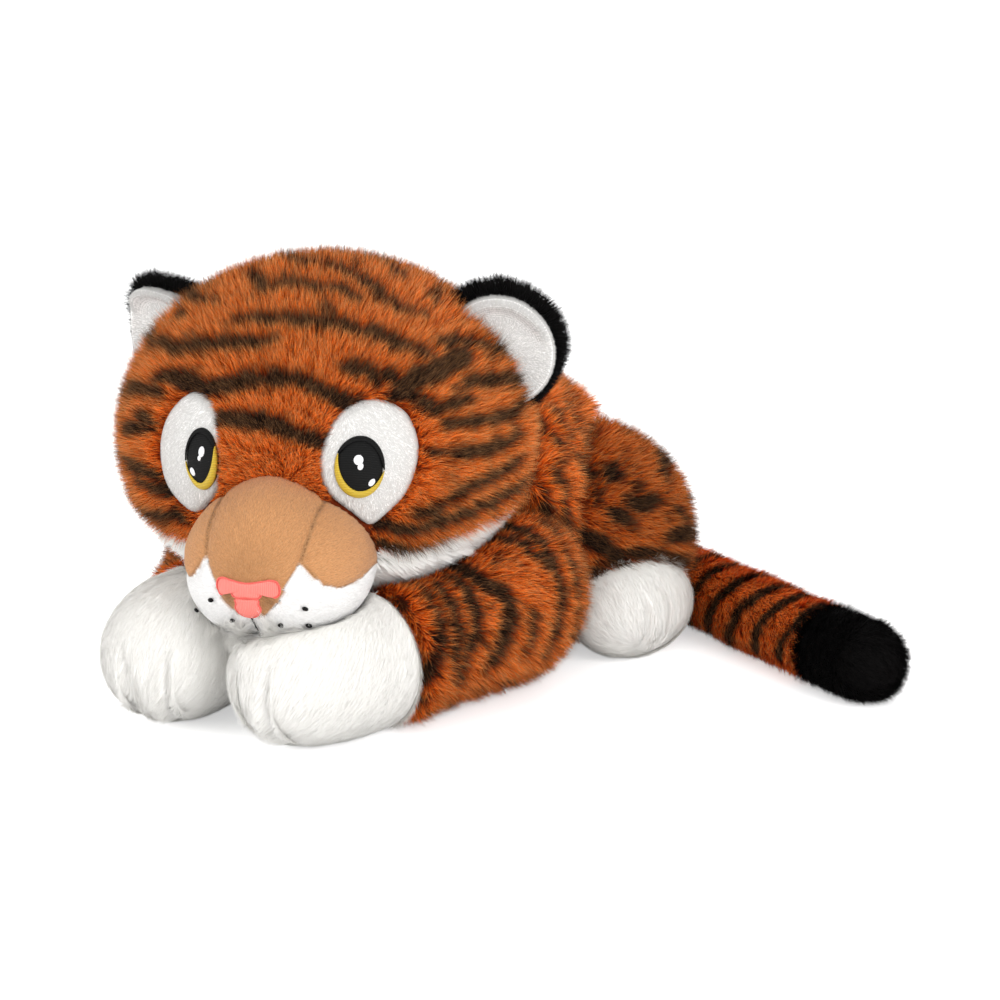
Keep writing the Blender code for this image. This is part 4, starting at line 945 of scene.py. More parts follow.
for side, sign in (("left", 1.0), ("right", -1.0)):
    body = "hind_leg_" + side
    hip = hips[side]
    mirror = np.array((sign, 1, 1))
    haunch = stuffed_form("haunch_skin_" + side, hip, haunch_sizes, orange_backing, low=0.0)
    haunch_marks = laid_on(haunch, haunch_strokes, lambda line: line / 1000 * (sign, 1, 1) + hip)

    def haunch_dye(points):
        streaks = stroke_dye(points, haunch_marks, soft=0.0018, seed=61)
        return np.maximum(streaks, flecks(points, 0.010, 63, low=0.50, high=1.0))

    spots = puff(places(haunch.data), hip + haunch_puff_place * mirror, haunch_puff_way * mirror,
                 haunch_puff_rise, haunch_puff_spread)
    move_points(haunch.data, spots)
    store(haunch.data, "stripe", haunch_dye(spots))
    inner = ease(0.99, 0.92, np.linalg.norm((spots - body_middle) / body_sizes, axis=1))
    # Painted shade: the haunch's fur runs from dull 0.38 to light 0.96, darker than the body's pile.
    fur = grow_pile(
        haunch, "haunch_fur_" + side, orange_pile, (sign * 0.25, 0.85, -0.55),
        1 - 0.6 * inner, 1 - 0.9 * inner, haunch_dye, density=3.7e6, width=0.00031, dull=0.38, light=0.96,
        seed=21 if side == "left" else 22)
    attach(fur, body)
    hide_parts("haunch_cover_" + side, "haunch_stuffing_" + side)
    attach(haunch, body)
    middle = hind_paw_place * mirror
    foot = stuffed_form(
        "hind_paw_skin_" + side, middle, hind_paw_sizes, white_backing,
        heart=middle + (sign * 0.011, -0.016, 0.0),
        near=[(hip, haunch_sizes + hind_paw_gap, 0.0), (body_middle, body_sizes + skin_gap, 0.0)], low=0.0)
    store(foot.data, "stripe", 0.0)
    spots = places(foot.data)
    toes = spots - middle
    lined = np.zeros(len(spots))
    for back in hind_toe_seams:
        lined = np.maximum(lined, np.exp(-((toes[:, 1] - back) / hind_toe_width) ** 2))
    lined = lined * ease(0.014, 0.021, sign * toes[:, 0]) * ease(-0.016, -0.006, toes[:, 2])
    move_points(foot.data, spots - unit(toes) * (lined * hind_toe_depth)[:, None])
    pressed = read(foot.data, "pressed")
    fur = grow_pile(
        foot, "hind_paw_fur_" + side, white_pile, (sign * 0.75, -0.45, -0.5), 1 - 0.6 * pressed,
        1 - 0.85 * pressed, density=7.5e6, length=paw_pile_length, seed=23 if side == "left" else 24,
        **smooth_white)
    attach(fur, body)
    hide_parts("hind_paw_" + side, "hind_paw_stuffing_" + side)
    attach(foot, body)

# Tail: a long filled tube of striped fabric with a black end, sewn into the rump by its gathered
# root. It lies on the ground and curls forward past the left foot.
tail_girth, tail_end_girth = 0.0160, 0.0170
tail_route = np.array((
    (0.0, 0.0860, 0.0280), (0.0170, 0.1130, 0.02255), (0.0500, 0.1260, 0.0171), (0.0880, 0.1095, 0.0171),
    (0.1520, 0.0765, 0.0171), (0.2160, 0.0440, 0.0180)))
tail_tip_run = 0.0480
root_round, tail_round = 0.012, 0.003
tail_start, tail_ring_gap = 0.004, 0.0018
tail_gap, root_gap = 0.0008, 0.0005
tail_lies_against = ((hips["left"], haunch_sizes + tail_gap), (body_middle, body_sizes + tail_gap),
                     (tail_root_place, np.full(3, tail_root_size + root_gap)))


def even_curve(knots, steps, count, closed=False):
    """A smooth curve through all places but the first and last, and how far along it each place lies."""
    fine = []
    for p0, p1, p2, p3 in zip(knots, knots[1:], knots[2:], knots[3:]):
        for t in np.linspace(0, 1, steps, endpoint=False):
            fine.append(0.5 * (2 * p1 + (p2 - p0) * t + (2 * p0 - 5 * p1 + 4 * p2 - p3) * t**2
                               + (3 * p1 - p0 - 3 * p2 + p3) * t**3))
    fine = np.array([*fine, knots[-2]])
    run = np.concatenate(([0], np.cumsum(np.linalg.norm(np.diff(fine, axis=0), axis=1))))
    even = np.linspace(0, run[-1], count, endpoint=not closed)
    return np.stack([np.interp(even, run, part) for part in fine.T], -1), even


def smooth_line(points, count):
    """A smooth open curve through places, read at even distances."""
    return even_curve(np.vstack((2 * points[0] - points[1], points, 2 * points[-1] - points[-2])), 24, count)


tail_line, tail_run = smooth_line(tail_route, 120)
tail_ahead = unit(np.gradient(tail_line, axis=0))
tail_across = unit(np.cross(tail_ahead, (0, 0, 1.0)))
tail_up = np.cross(tail_across, tail_ahead)
tail_length = tail_run[-1] + tail_end_girth
tail_seam = tail_length - tail_tip_run


def tail_middle(run):
    along = np.clip(run, 0, tail_run[-1])
    return np.stack([np.interp(along, tail_run, part) for part in tail_line.T], -1)


def tail_place(run, angle):
    """A place on the tail at a distance along it and an angle round it, 90 degrees being up."""
    along = np.clip(run, 0, tail_run[-1])
    middle, ahead, across, up = (
        np.stack([np.interp(along, tail_run, part[:, axis]) for axis in range(3)], -1)
        for part in (tail_line, tail_ahead, tail_across, tail_up))
    girth = np.interp(along, (0, tail_run[-1]), (tail_girth, tail_end_girth))
    girth = girth * (1 + 0.030 * np.sin(along / 0.021) + 0.018 * np.sin(along / 0.0087 + 1.0))
    beyond = np.clip((run - tail_run[-1]) / tail_end_girth, 0, 1)
    girth = girth * np.sqrt(1 - beyond**2) * drawn_in(run, root_round)
    angle = np.radians(angle)
    return (middle + ahead * (beyond * tail_end_girth)[..., None]
            + across * (girth * np.cos(angle))[..., None] + up * (girth * np.sin(angle))[..., None])


def tail_skin(name, low, high, material):
    """A length of the tail as a closed bag, pressed clear of the left haunch, the body and the ground."""
    rows, count_round = int((high - low) / tail_ring_gap), 64
    runs = low + (high - low) * (1 - np.cos(np.linspace(0, math.pi, rows))) / 2
    runs = runs[1:-1]
    angles = np.linspace(0, 360, count_round, endpoint=False)
    rings = tail_place(*np.meshgrid(runs, angles, indexing="ij"))
    middles = tail_middle(runs)
    close = np.ones(len(runs))
    if low > 0:
        close *= drawn_in(runs - low, tail_round)
    if high < tail_length:
        close *= drawn_in(high - runs, tail_round)
    close = np.where(runs > tail_run[-1], 1.0, close)
    rings = middles[:, None] + (rings - middles[:, None]) * close[:, None, None]
    ends = tail_middle((low, high))
    if high >= tail_length:
        ends[1] = tail_place(np.array((high - 1e-6,)), np.zeros(1))[0]
    spots = np.vstack((rings.reshape(-1, 3), ends))
    away = unit(np.array((0.12, 1.0, 0.0)))
    for middle, sizes in tail_lies_against:
        spots += np.outer(pushed_out(spots, away, middle, sizes), away)
    spots[:, 2] = np.maximum(spots[:, 2], 0.0)
    return show(name, ring_mesh(name, spots, count_round), material)


tail_strokes = []
dice = np.random.default_rng(71)
for run in np.arange(0.030, tail_seam - 0.004, 0.0205):
    slant = dice.uniform(0.006, 0.012)
    start, stop = dice.uniform(-60, -20), dice.uniform(150, 215)
    turns = np.linspace(start, stop, 9)
    tail_strokes.append((dice.uniform(2.5, 3.6), *tail_place(run + slant * np.sin(np.radians(turns)), turns)))


def nearest_ahead(spots):
    gap = np.linalg.norm(spots[:, None] - tail_line[None, ::4], axis=2)
    return tail_ahead[::4][gap.argmin(1)]


black_pile = pile_material(
    "black long pile",
    ((0.0020, 0.0018, 0.0018), (0.0026, 0.0024, 0.0024), (0.0034, 0.0030, 0.0030), (0.006, 0.005, 0.005)),
    roughness=0.7, sheen=0.0)
black_backing = knit_material("black backing", (0.003, 0.0028, 0.0028), (0.003, 0.0028, 0.0028))
tail = tail_skin("tail_skin", tail_start, tail_seam - seam_half, orange_backing)
tail_end = tail_skin("tail_tip_skin", tail_seam + seam_half, tail_length, black_backing)
tail_marks = laid_on(tail, tail_strokes, np.array)


def tail_dye(points):
    return stroke_dye(points, tail_marks, soft=0.0016, ragged=0.0014, seed=72)


spots = places(tail.data)
store(tail.data, "stripe", tail_dye(spots))
tail_lie = dict(
    density=4.0e6, width=0.00033, length=0.0078, lay=0.58, clump=0.18, ragged=0.16, dull=0.75, light=1.40)
fur = grow_pile(
    tail, "tail_fur", orange_pile, nearest_ahead(spots) + (0, 0, -0.25), 0.9, 1.0, tail_dye, seed=73,
    **tail_lie)
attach(fur, "tail")
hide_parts("tail_cover", "tail_stuffing")
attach(tail, "tail")
store(tail_end.data, "stripe", 0.0)
fur = grow_pile(
    tail_end, "tail_tip_fur", black_pile, nearest_ahead(places(tail_end.data)) + (0, 0, -0.1), 1.0, 1.0,
    density=7.0e6, length=0.0068, lay=0.55, clump=0.15, clump_size=0.006, ragged=0.18, seed=74)
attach(fur, "tail")
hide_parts("tail_tip")
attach(tail_end, "tail")
root_skin = stuffed_form(
    "tail_root_skin", tail_root_place, np.full(3, tail_root_size), orange_backing, level=4)
store(root_skin.data, "stripe", 0.0)
spots = places(root_skin.data)
outside = np.linalg.norm((spots - body_middle) / body_sizes, axis=1) > 0.97
fur = grow_pile(
    root_skin, "tail_root_fur", orange_pile, unit(spots - tail_root_place) + (0.5, 0.9, -0.5), 0.6,
    np.where(outside, 1.0, 0.0), seed=75, **tail_lie)
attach(fur, "tail_base")
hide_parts("tail_root")
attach(root_skin, "tail_base")

# Head: a large filled bag of striped fabric, combed away from the nose, with a white ruff under
# the jaws and two openings that the eye patches are sewn into.
chin_seam = -0.0400
patch_outlines = {
    "left": np.array((
        (0.0198, 0.0027), (0.0205, 0.0120), (0.0245, 0.0225), (0.0310, 0.0300), (0.0400, 0.0325),
        (0.0490, 0.0300), (0.0565, 0.0225), (0.0602, 0.0085), (0.0562, -0.0080), (0.0470, -0.0190),
        (0.0395, -0.0240), (0.0320, -0.0170), (0.0235, -0.0080))),
    "right": np.array((
        (-0.0242, 0.0027), (-0.0246, 0.0140), (-0.0285, 0.0275), (-0.0395, 0.0320), (-0.0490, 0.0270),
        (-0.0560, 0.0170), (-0.0585, 0.0040), (-0.0560, -0.0110), (-0.0480, -0.0200), (-0.0400, -0.0230),
        (-0.0320, -0.0170), (-0.0255, -0.0080))),
}
patch_hearts = {"left": np.array((0.0400, 0.0045)), "right": np.array((-0.0400, 0.0045))}
head_turn = turned(head_yaw)


def to_head(points):
    return (points - head_middle) @ head_turn


def from_head(points):
    return np.asarray(points) @ head_turn.T + head_middle


def smooth_ring(points, count):
    """A smooth closed outline through places, read at even distances."""
    points = np.asarray(points, float)
    return even_curve(np.vstack((points[-1], points, points[:2])), 16, count, closed=True)[0]


patch_rings = {side: smooth_ring(outline, 128) for side, outline in patch_outlines.items()}


def patch_share(local, side):
    """Less than 1 within the outline of an eye patch, seen from the front of the face."""
    ring = patch_rings[side] - patch_hearts[side]
    angle = np.arctan2(ring[:, 1], ring[:, 0])
    order = angle.argsort()
    x, z = local[:, 0] - patch_hearts[side][0], local[:, 2] - patch_hearts[side][1]
    reach = np.hypot(ring[:, 0], ring[:, 1])
    edge = np.interp(np.arctan2(z, x), angle[order], reach[order], period=2 * math.pi)
    return np.where(local[:, 1] < -0.02, np.hypot(x, z) / edge, 9.0)


def round_head(line):
    """Places on the head from degrees round it, 0 at the face and 90 at its left, and degrees up it."""
    line = np.radians(np.array(line, float))
    around, up = line[:, 0], line[:, 1]
    ball = np.stack((np.sin(around) * np.cos(up), -np.cos(around) * np.cos(up), np.sin(up)), -1)
    return ball * head_sizes


head_marks = (
    (3.6, (-100, 78), (-20, 79), (17, 80), (38, 73), (44, 67), (45, 59), (51, 53), (60, 49)),
    (3.4, (-60, 68), (-47, 67), (-23, 63), (-8, 66), (10, 64), (25, 64), (32, 58)),
    (3.8, (-22, 49), (-8, 50), (3, 50), (12, 49), (20, 49), (28, 46), (34, 45), (41, 41), (45, 39), (52, 35)),
    (3.8, (-59, 35), (-43, 34), (-35, 37), (-26, 39), (-18, 41), (-10, 41), (-3, 43)),
    (4.0, (-46, 24), (-40, 26), (-30, 27), (-23, 25), (-16, 27), (-8, 30), (0, 30), (6, 30), (12, 27),
     (19, 24), (26, 23)),
    (3.8, (-19, 16), (-16, 17), (-10, 17), (-4, 17), (2, 16), (7, 13), (12, 12), (19, 9)),
    (3.8, (21, 34), (28, 33), (31, 29)), (5.3, (36, 25), (45, 29), (55, 31), (68, 34)),
    (3.6, (34, 32), (42, 24)),
    (3.4, (-66, 17), (-48, 20), (-41, 21)), (3.1, (-60, 5), (-43, 9)), (3.1, (-60, -4), (-48, -5), (-41, -6)),
    (3.0, (-85, 49), (-66, 51), (-52, 52)), (3.0, (-66, 43), (-57, 46)),
    (3.1, (38, 27), (45, 21), (48, 19), (60, 20)), (3.1, (46, 6), (54, 4), (65, 4), (82, 5)),
    (3.1, (39, -14), (47, -12), (55, -7), (65, -5), (82, -3)),
    (3.5, (29, -16), (36, -19), (48, -17), (59, -15), (72, -13), (92, -11)),
    (3.8, (31, -24), (42, -28), (56, -26)),
    (3.0, (50, 14), (60, 13), (76, 12), (90, 14)), (3.1, (-50, -9), (-41, -10), (-34, -10)),
    (3.1, (-56, -21), (-35, -18), (-32, -20)), (3.0, (-50, 12), (-42, 11)),
    (3.1, (57, 39), (77, 36), (88, 31), (106, 28)), (3.4, (60, 25), (78, 23), (101, 18)),
    (3.1, (-92, 30), (-76, 34), (-60, 32)), (3.1, (-104, 14), (-88, 16), (-70, 14)),
    (3.1, (-106, -4), (-92, -2), (-70, -5)), (3.4, (-100, -18), (-84, -18), (-66, -19)),
    (3.6, (118, 52), (150, 57), (180, 58), (212, 56), (240, 50)), (3.6, (112, 32), (140, 36), (168, 36)),
    (3.6, (186, 34), (214, 36), (246, 30)),
    (3.6, (110, 10), (136, 14), (164, 12), (190, 14), (218, 12), (248, 8)),
    (3.4, (112, -12), (140, -10), (168, -12)), (3.4, (190, -10), (220, -12), (246, -10)),
    (3.4, (80, 66), (140, 74), (200, 75), (250, 68)),
)


jaw_edge, jaw_side_rise, jaw_back_drop = -0.0350, 0.0065, 0.0100


def above_jaw(local):
    """How high a place lies over the edge of the white under the jaws, which rises a little to the sides."""
    around = np.degrees(np.arctan2(np.abs(local[:, 0]), -local[:, 1]))
    sides, back = ease(40, 70, around), ease(100, 140, around)
    return local[:, 2] - (jaw_edge + jaw_side_rise * sides - jaw_back_drop * back)


head_skin = stuffed_form(
    "head_skin", head_middle, head_sizes, orange_backing, yaw=head_yaw,
    low=head_middle[2] + chin_seam + seam_half, level=6)
ruff_skin = stuffed_form(
    "ruff_skin", head_middle, head_sizes, white_backing, yaw=head_yaw, heart=head_middle + (0, 0, -0.055),
    high=head_middle[2] + chin_seam - seam_half)
spots = places(head_skin.data)
local = to_head(spots)
patch_sink = 0.0050
sink = np.maximum(ease(1.04, 0.90, patch_share(local, "left")), ease(1.04, 0.90, patch_share(local, "right")))
spots -= unit(spots - head_middle) * (sink * patch_sink)[:, None]
move_points(head_skin.data, spots)
local = to_head(spots)
head_strokes = laid_on(head_skin, head_marks, lambda line: from_head(round_head(line)))


def head_dye(points):
    streaks = stroke_dye(points, head_strokes, soft=0.0022, ragged=0.0010, size=0.007, seed=81)
    loose = flecks(points, 0.009, 83) * ease(-0.062, -0.045, to_head(points)[:, 1])
    return np.maximum(streaks, loose)


store(head_skin.data, "stripe", head_dye(spots))
nose_place = np.array((0.0, -0.112, -0.020))
away = unit(local - nose_place) + np.stack(
    (np.zeros(len(local)), 0.55 * ease(0.0, 0.05, local[:, 2]), -0.35 * ease(0.02, -0.03, local[:, 2])), -1)
head_comb = away @ head_turn.T
behind_muzzle = np.linalg.norm((local - muzzle_offset) / (muzzle_sizes + 0.001), axis=1) < 1
by_muzzle = ease(1.35, 1.02, np.linalg.norm((local - muzzle_offset) / muzzle_sizes, axis=1))
near_patch = np.minimum(patch_share(local, "left"), patch_share(local, "right"))
bald = (near_patch < 0.98) | behind_muzzle
face = ease(0.052, 0.034, np.abs(local[:, 0])) * ease(0.050, 0.025, local[:, 2])
face *= ease(-0.045, -0.060, local[:, 1])
head_pile = (1 - 0.35 * by_muzzle) * (1 - 0.38 * face) * (1 - 0.30 * ease(1.4, 1.0, near_patch))
head_seat = ease(0.0, 0.02, spots[:, 1] - (head_middle[1] + 0.030)) * ease(0.118, 0.100, spots[:, 2])
head_pile = head_pile * (1 - 0.4 * head_seat)
head_cover = np.where(bald, 0.0, 1.0) * (1 - 0.6 * head_seat)
head_back = local[:, 1] > -0.030
white_jaw = above_jaw(local) < 0
jobs = [("face_fur_left", ~head_back & (local[:, 0] >= 0), 8.0e6, 0.0084, 0.00027, 82),
        ("face_fur_right", ~head_back & (local[:, 0] < 0), 8.0e6, 0.0084, 0.00027, 83),
        ("crown_fur_left", head_back & (local[:, 0] >= 0), 4.2e6, 0.0090, 0.00033, 84),
        ("crown_fur_right", head_back & (local[:, 0] < 0), 4.2e6, 0.0090, 0.00033, 85)]
for name, area, density, length, width, seed in jobs:
    fur = grow_pile(
        head_skin, name, orange_pile, head_comb, head_pile, head_cover * area * ~white_jaw, head_dye,
        density=density, length=length, width=width, seed=seed)
    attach(fur, "head")
ruff_lie = dict(lay=0.66, clump=0.12, ragged=0.09, dull=0.98, light=1.0)
jaw_comb = (unit(local - (0.0, -0.090, -0.010)) + (0, 0, -0.10)) @ head_turn.T
fur = grow_pile(
    head_skin, "jaw_fur", white_pile, jaw_comb, 0.9, head_cover * white_jaw, density=5.0e6, width=0.00033,
    length=0.0100, seed=86, **ruff_lie)
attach(fur, "head")
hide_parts("head_cover", "head_stuffing")
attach(head_skin, "head")
store(ruff_skin.data, "stripe", 0.0)
local = to_head(places(ruff_skin.data))
away = unit(local - (0.0, -0.060, -0.020)) + (0, 0, -0.15)
behind_muzzle = np.linalg.norm((local - muzzle_offset) / (muzzle_sizes + 0.001), axis=1) < 1
tuft = ease(-0.050, -0.066, local[:, 1])
away[:, 1] -= 1.6 * tuft
fur = grow_pile(
    ruff_skin, "ruff_fur", white_pile, away @ head_turn.T, 0.9 + 0.25 * tuft,
    np.where(behind_muzzle, 0.0, 1.0), density=3.3e6, width=0.00034, seed=87, **ruff_lie)
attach(fur, "head")
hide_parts("chin_ruff")
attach(ruff_skin, "head")

# Muzzle: five panels of short brown and white plush over their own filling, drawn in along their
# seams by tight stitching. The white lower panels meet below the nose.
muzzle_seams = (
    ((0.0235, 0.0400), (0.0222, 0.0190), (0.0206, 0.0095), (0.0150, -0.0006), (0.0125, -0.0068),
     (0.0056, -0.0140)),
    ((0.0206, 0.0095), (0.0290, -0.0010), (0.0345, -0.0042), (0.0400, -0.0030), (0.0440, 0.0020)),
    ((0.0000, -0.0148), (0.0010, -0.0200), (0.0000, -0.0340)),
    ((0.0000, -0.0148), (0.0056, -0.0140)),
)
brown_edge = np.array((
    (0.0000, -0.0148), (0.0056, -0.0140), (0.0125, -0.0068), (0.0150, -0.0006), (0.0206, 0.0095),
    (0.0290, -0.0010), (0.0345, -0.0042), (0.0400, -0.0030), (0.0440, 0.0020)))


def seam_gap(x, z):
    """Distance, seen from the front, to the nearest seam of the muzzle; seams come in mirrored pairs."""
    x = np.abs(x)
    best = np.full(np.shape(x), 1.0)
    for line in muzzle_seams:
        for (x0, z0), (x1, z1) in zip(line[:-1], line[1:]):
            dx, dz = x1 - x0, z1 - z0
            share = np.clip(((x - x0) * dx + (z - z0) * dz) / (dx * dx + dz * dz), 0, 1)
            best = np.minimum(best, np.hypot(x - x0 - share * dx, z - z0 - share * dz))
    return best


stitch_pitch, pucker = 0.00060, 0.25
seam_depth, seam_width = 0.0011, 0.0010
draw_depth, draw_width = 0.0007, 0.0034
panel_puff = 0.0005


def muzzle_push(x, z, front):
    """How far the muzzle's surface is drawn in at its seams and puffs out between them."""
    gap = seam_gap(x, z)
    stitched = 1 + pucker * np.sin(z / stitch_pitch)
    drawn = seam_depth * np.exp(-(gap / seam_width) ** 2) * stitched
    drawn = drawn + draw_depth * np.exp(-(gap / draw_width) ** 2)
    return (panel_puff * ease(0.002, 0.010, gap) - drawn) * front


muzzle_brown = pile_material(
    "brown short plush",
    ((0.48, 0.215, 0.084), (0.60, 0.285, 0.116), (0.65, 0.325, 0.142), (0.70, 0.375, 0.175)),
    ((0.82, 0.81, 0.80), (0.86, 0.85, 0.84), (0.87, 0.86, 0.85), (0.88, 0.872, 0.86)), sheen=0.12)
muzzle_backing = knit_material(
    "muzzle backing", (0.52, 0.27, 0.125), (0.92, 0.91, 0.90), scale=1800.0, shadow=0.75)
muzzle_skin = stuffed_form(
    "muzzle_skin", muzzle_middle, muzzle_sizes, muzzle_backing, yaw=head_yaw,
    near=[(head_middle, head_sizes + 2 * seam_half, head_yaw)], level=6)
spots = places(muzzle_skin.data)
local = (spots - muzzle_middle) @ head_turn
front = ease(0.010, -0.012, local[:, 1]) * (1 - read(muzzle_skin.data, "pressed"))
spots += unit(spots - muzzle_middle) * muzzle_push(local[:, 0], local[:, 2], front)[:, None]
bridge_rise, cheek_slim = 0.0055, 0.0022
spots[:, 2] += bridge_rise * np.exp(-((local[:, 0] / 0.019) ** 2)) * ease(0.006, 0.030, local[:, 2])
spots += np.outer(cheek_slim * ease(-0.016, -0.040, local[:, 0]), head_turn[:, 0])
move_points(muzzle_skin.data, spots)


def muzzle_white(points):
    """1 on the white lower panels and 0 on the brown ones."""
    local = (points - muzzle_middle) @ head_turn
    edge = np.interp(np.abs(local[:, 0]), brown_edge[:, 0], brown_edge[:, 1])
    return ease(0.0003, -0.0003, local[:, 2] - edge)


store(muzzle_skin.data, "stripe", muzzle_white(spots))
local = (spots - muzzle_middle) @ head_turn
away = unit(local - (0.0, -0.046, -0.002)) + (0, 0.2, 0)
sewn = ease(0.0003, 0.0016, seam_gap(local[:, 0], local[:, 2]))


def muzzle_seams_and_painted_shade(points):
    """Darker along the brown seams, partly their own dark line and partly painted shade in the drawn-in
    creases, with painted shade beside the stem of the nose and over the middle of the muzzle round the nose.
    """
    local = (points - muzzle_middle) @ head_turn
    x, z = np.abs(local[:, 0]), local[:, 2]
    brown = 1 - muzzle_white(points)
    seam = np.exp(-(seam_gap(x, z) / 0.00065) ** 2)
    nostril_painted_shade = np.exp(-(((x - 0.0082) / 0.0030) ** 2 + ((z + 0.0062) / 0.0036) ** 2))
    bridge_painted_shade = 0.22 * np.exp(-((x / 0.016) ** 2 + ((z - 0.006) / 0.012) ** 2))
    return 1 - brown * np.clip(0.62 * seam + 0.45 * nostril_painted_shade + bridge_painted_shade, 0, 0.75)


# The muzzle's pile takes the painted shade of its seams, beside its nostrils and over its middle, through the
# tint.
fur = grow_pile(
    muzzle_skin, "muzzle_pile", muzzle_brown, away @ head_turn.T, 0.55 + 0.45 * sewn,
    np.where(read(muzzle_skin.data, "pressed") > 0.5, 0.0, 1.0), muzzle_white, muzzle_seams_and_painted_shade, density=9.5e6,
    length=0.0017, lay=0.82, clump=0.0, ragged=0.06, dull=0.90, light=1.06, seed=91)
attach(fur, "head")
under = ease(-0.021, -0.027, local[:, 2]) * ease(0.034, 0.024, np.abs(local[:, 0])) * (local[:, 1] < 0.012)
fur = grow_pile(
    muzzle_skin, "chin_tuft", white_pile, head_turn @ (0.0, -0.86, -0.45), 1.0, under, density=7.0e6,
    length=0.0165, lay=0.84, clump=0.40, clump_size=0.005, ragged=0.14, dull=0.97, light=1.0, seed=92)
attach(fur, "head")
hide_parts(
    "muzzle_top", "muzzle_side_left", "muzzle_side_right", "muzzle_lower_left",
    "muzzle_lower_right", "muzzle_stuffing")
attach(muzzle_skin, "head")

# Face: the nose, mouth, eyes and whisker dots are satin-stitched thread over a thin padding, and
# the eyes stand on oval patches of short white plush.


def thread_material(name, colour, dark, roughness=0.42, shine=0.4, angle=0.0):
    """Rows of shiny thread laid side by side; the colour follows the bump and darkens where it sinks between
    threads, which is painted shade in the grooves.
    """
    material, shader, nodes, links = blank_material(name, roughness, shine)
    here = nodes.new("ShaderNodeUVMap")
    here.uv_map = "thread"
    turn = nodes.new("ShaderNodeMapping")
    turn.inputs["Rotation"].default_value = (0, 0, math.radians(angle))
    rows = nodes.new("ShaderNodeTexWave")
    rows.bands_direction = "Y"
    for label, value in (("Scale", 420.0), ("Distortion", 1.2), ("Detail", 2.0), ("Detail Scale", 0.6)):
        rows.inputs[label].default_value = value
    links.new(here.outputs["UV"], turn.inputs["Vector"])
    links.new(turn.outputs["Vector"], rows.inputs["Vector"])
    tone = dyes_along(nodes, links, rows.outputs["Fac"], ((0.0, dark), (0.6, colour)))
    links.new(tone, shader.inputs["Base Color"])
    bumped(nodes, links, rows.outputs["Fac"], strength=0.7, distance=0.00025, shader=shader)
    return material


def on_ellipsoid(x, z, sizes):
    """Places on the front of an ellipsoid, seen from the front."""
    share = np.maximum(1 - (x / sizes[0]) ** 2 - (z / sizes[2]) ** 2, 0.02)
    return np.stack((x, -sizes[1] * np.sqrt(share), z), -1)


def on_head(x, z):
    """Place and outward way on the face of the head, seen from the front."""
    spot = on_ellipsoid(x, z, head_sizes)
    return spot, unit(spot / head_sizes**2)


def on_muzzle(x, z):
    """Place and outward way on the front of the muzzle, with its seams and puffs."""
    spot = on_ellipsoid(x, z, muzzle_sizes)
    spot = spot + unit(spot) * muzzle_push(x, z, 1.0)[..., None]
    return spot + muzzle_offset, unit(spot / muzzle_sizes**2)


def oval(middle, sizes, lean=0.0, count=96):
    angle = np.linspace(0, 2 * math.pi, count, endpoint=False)
    lean = math.radians(lean)
    a, b = sizes[0] * np.cos(angle), sizes[1] * np.sin(angle)
    return np.stack((middle[0] + a * math.cos(lean) + b * math.sin(lean),
                     middle[1] - a * math.sin(lean) + b * math.cos(lean)), -1)


def padded_patch(name, outline, heart, surface, low, high, material, crown=0.35, edge=0.12, rows=26):
    """A closed pad that lies on a surface: flat below, full above and rounded off at its outline."""
    outline = np.asarray(outline)
    count = len(outline)
    rounding = 1 - edge * (1 - np.sin(np.linspace(0, 1, 9)[1:] * math.pi / 2))
    shares = np.concatenate((np.linspace(0, 1 - edge, rows)[1:], rounding))
    rings = []
    for share in shares:
        flat = heart + (outline - heart) * share
        spot, out = surface(flat[:, 0], flat[:, 1])
        rounded = math.sqrt(max(0.0, 1 - (max(0.0, share - (1 - edge)) / edge) ** 2))
        rise = low + (high - low) * rounded * (1 - crown + crown * (1 - share**2))
        rings.append(spot + out * rise)
    for share in (0.96, 0.5):
        flat = heart + (outline - heart) * share
        spot, out = surface(flat[:, 0], flat[:, 1])
        rings.append(spot + out * low)
    spot, out = surface(heart[:1], heart[1:])
    spots = np.vstack([*rings, spot + out * high, spot + out * low])
    mesh = ring_mesh(name, from_head(spots), count)
    lay_flat(mesh, "thread", spots[:, (0, 2)])
    return show(name, mesh, material)


pink_thread = thread_material("pink satin thread", (0.86, 0.215, 0.175), (0.76, 0.160, 0.130), angle=90)
rim_thread = thread_material("bright pink thread", (0.84, 0.150, 0.125), (0.72, 0.105, 0.085))
black_thread = thread_material(
    "black satin thread", (0.008, 0.008, 0.008), (0.003, 0.003, 0.003), roughness=0.6, shine=0.10)
gold_thread = thread_material("gold satin thread", (0.62, 0.43, 0.030), (0.38, 0.25, 0.015))
white_thread = thread_material("white satin thread", (0.93, 0.93, 0.94), (0.80, 0.80, 0.83))

nose_bar_half = (
    (0.0000, 0.0020), (0.0060, 0.0028), (0.0100, 0.0034), (0.0126, 0.0024), (0.0136, -0.0006),
    (0.0131, -0.0032), (0.0113, -0.0040), (0.0104, -0.0022), (0.0090, -0.0008), (0.0070, -0.0014),
    (0.0051, -0.0040), (0.0000, -0.0040))
nose_stem_half = (
    (0.0000, -0.0044), (0.0047, -0.0046), (0.0048, -0.0070), (0.0054, -0.0092), (0.0036, -0.0122),
    (0.0000, -0.0138))


def both_halves(half):
    return list(half) + [(-x, z) for x, z in reversed(half[1:-1])]


nose_parts = (("nose_bar", nose_bar_half, (0.0, 0.0)), ("nose_stem", nose_stem_half, (0.0, -0.0085)))
for name, half, heart in nose_parts:
    pad = padded_patch(
        name, smooth_ring(both_halves(half), 144), np.array(heart), on_muzzle, low=0.0004, high=0.0024,
        material=pink_thread, crown=0.20, edge=0.22)
    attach(pad, "head")
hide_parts("nose")


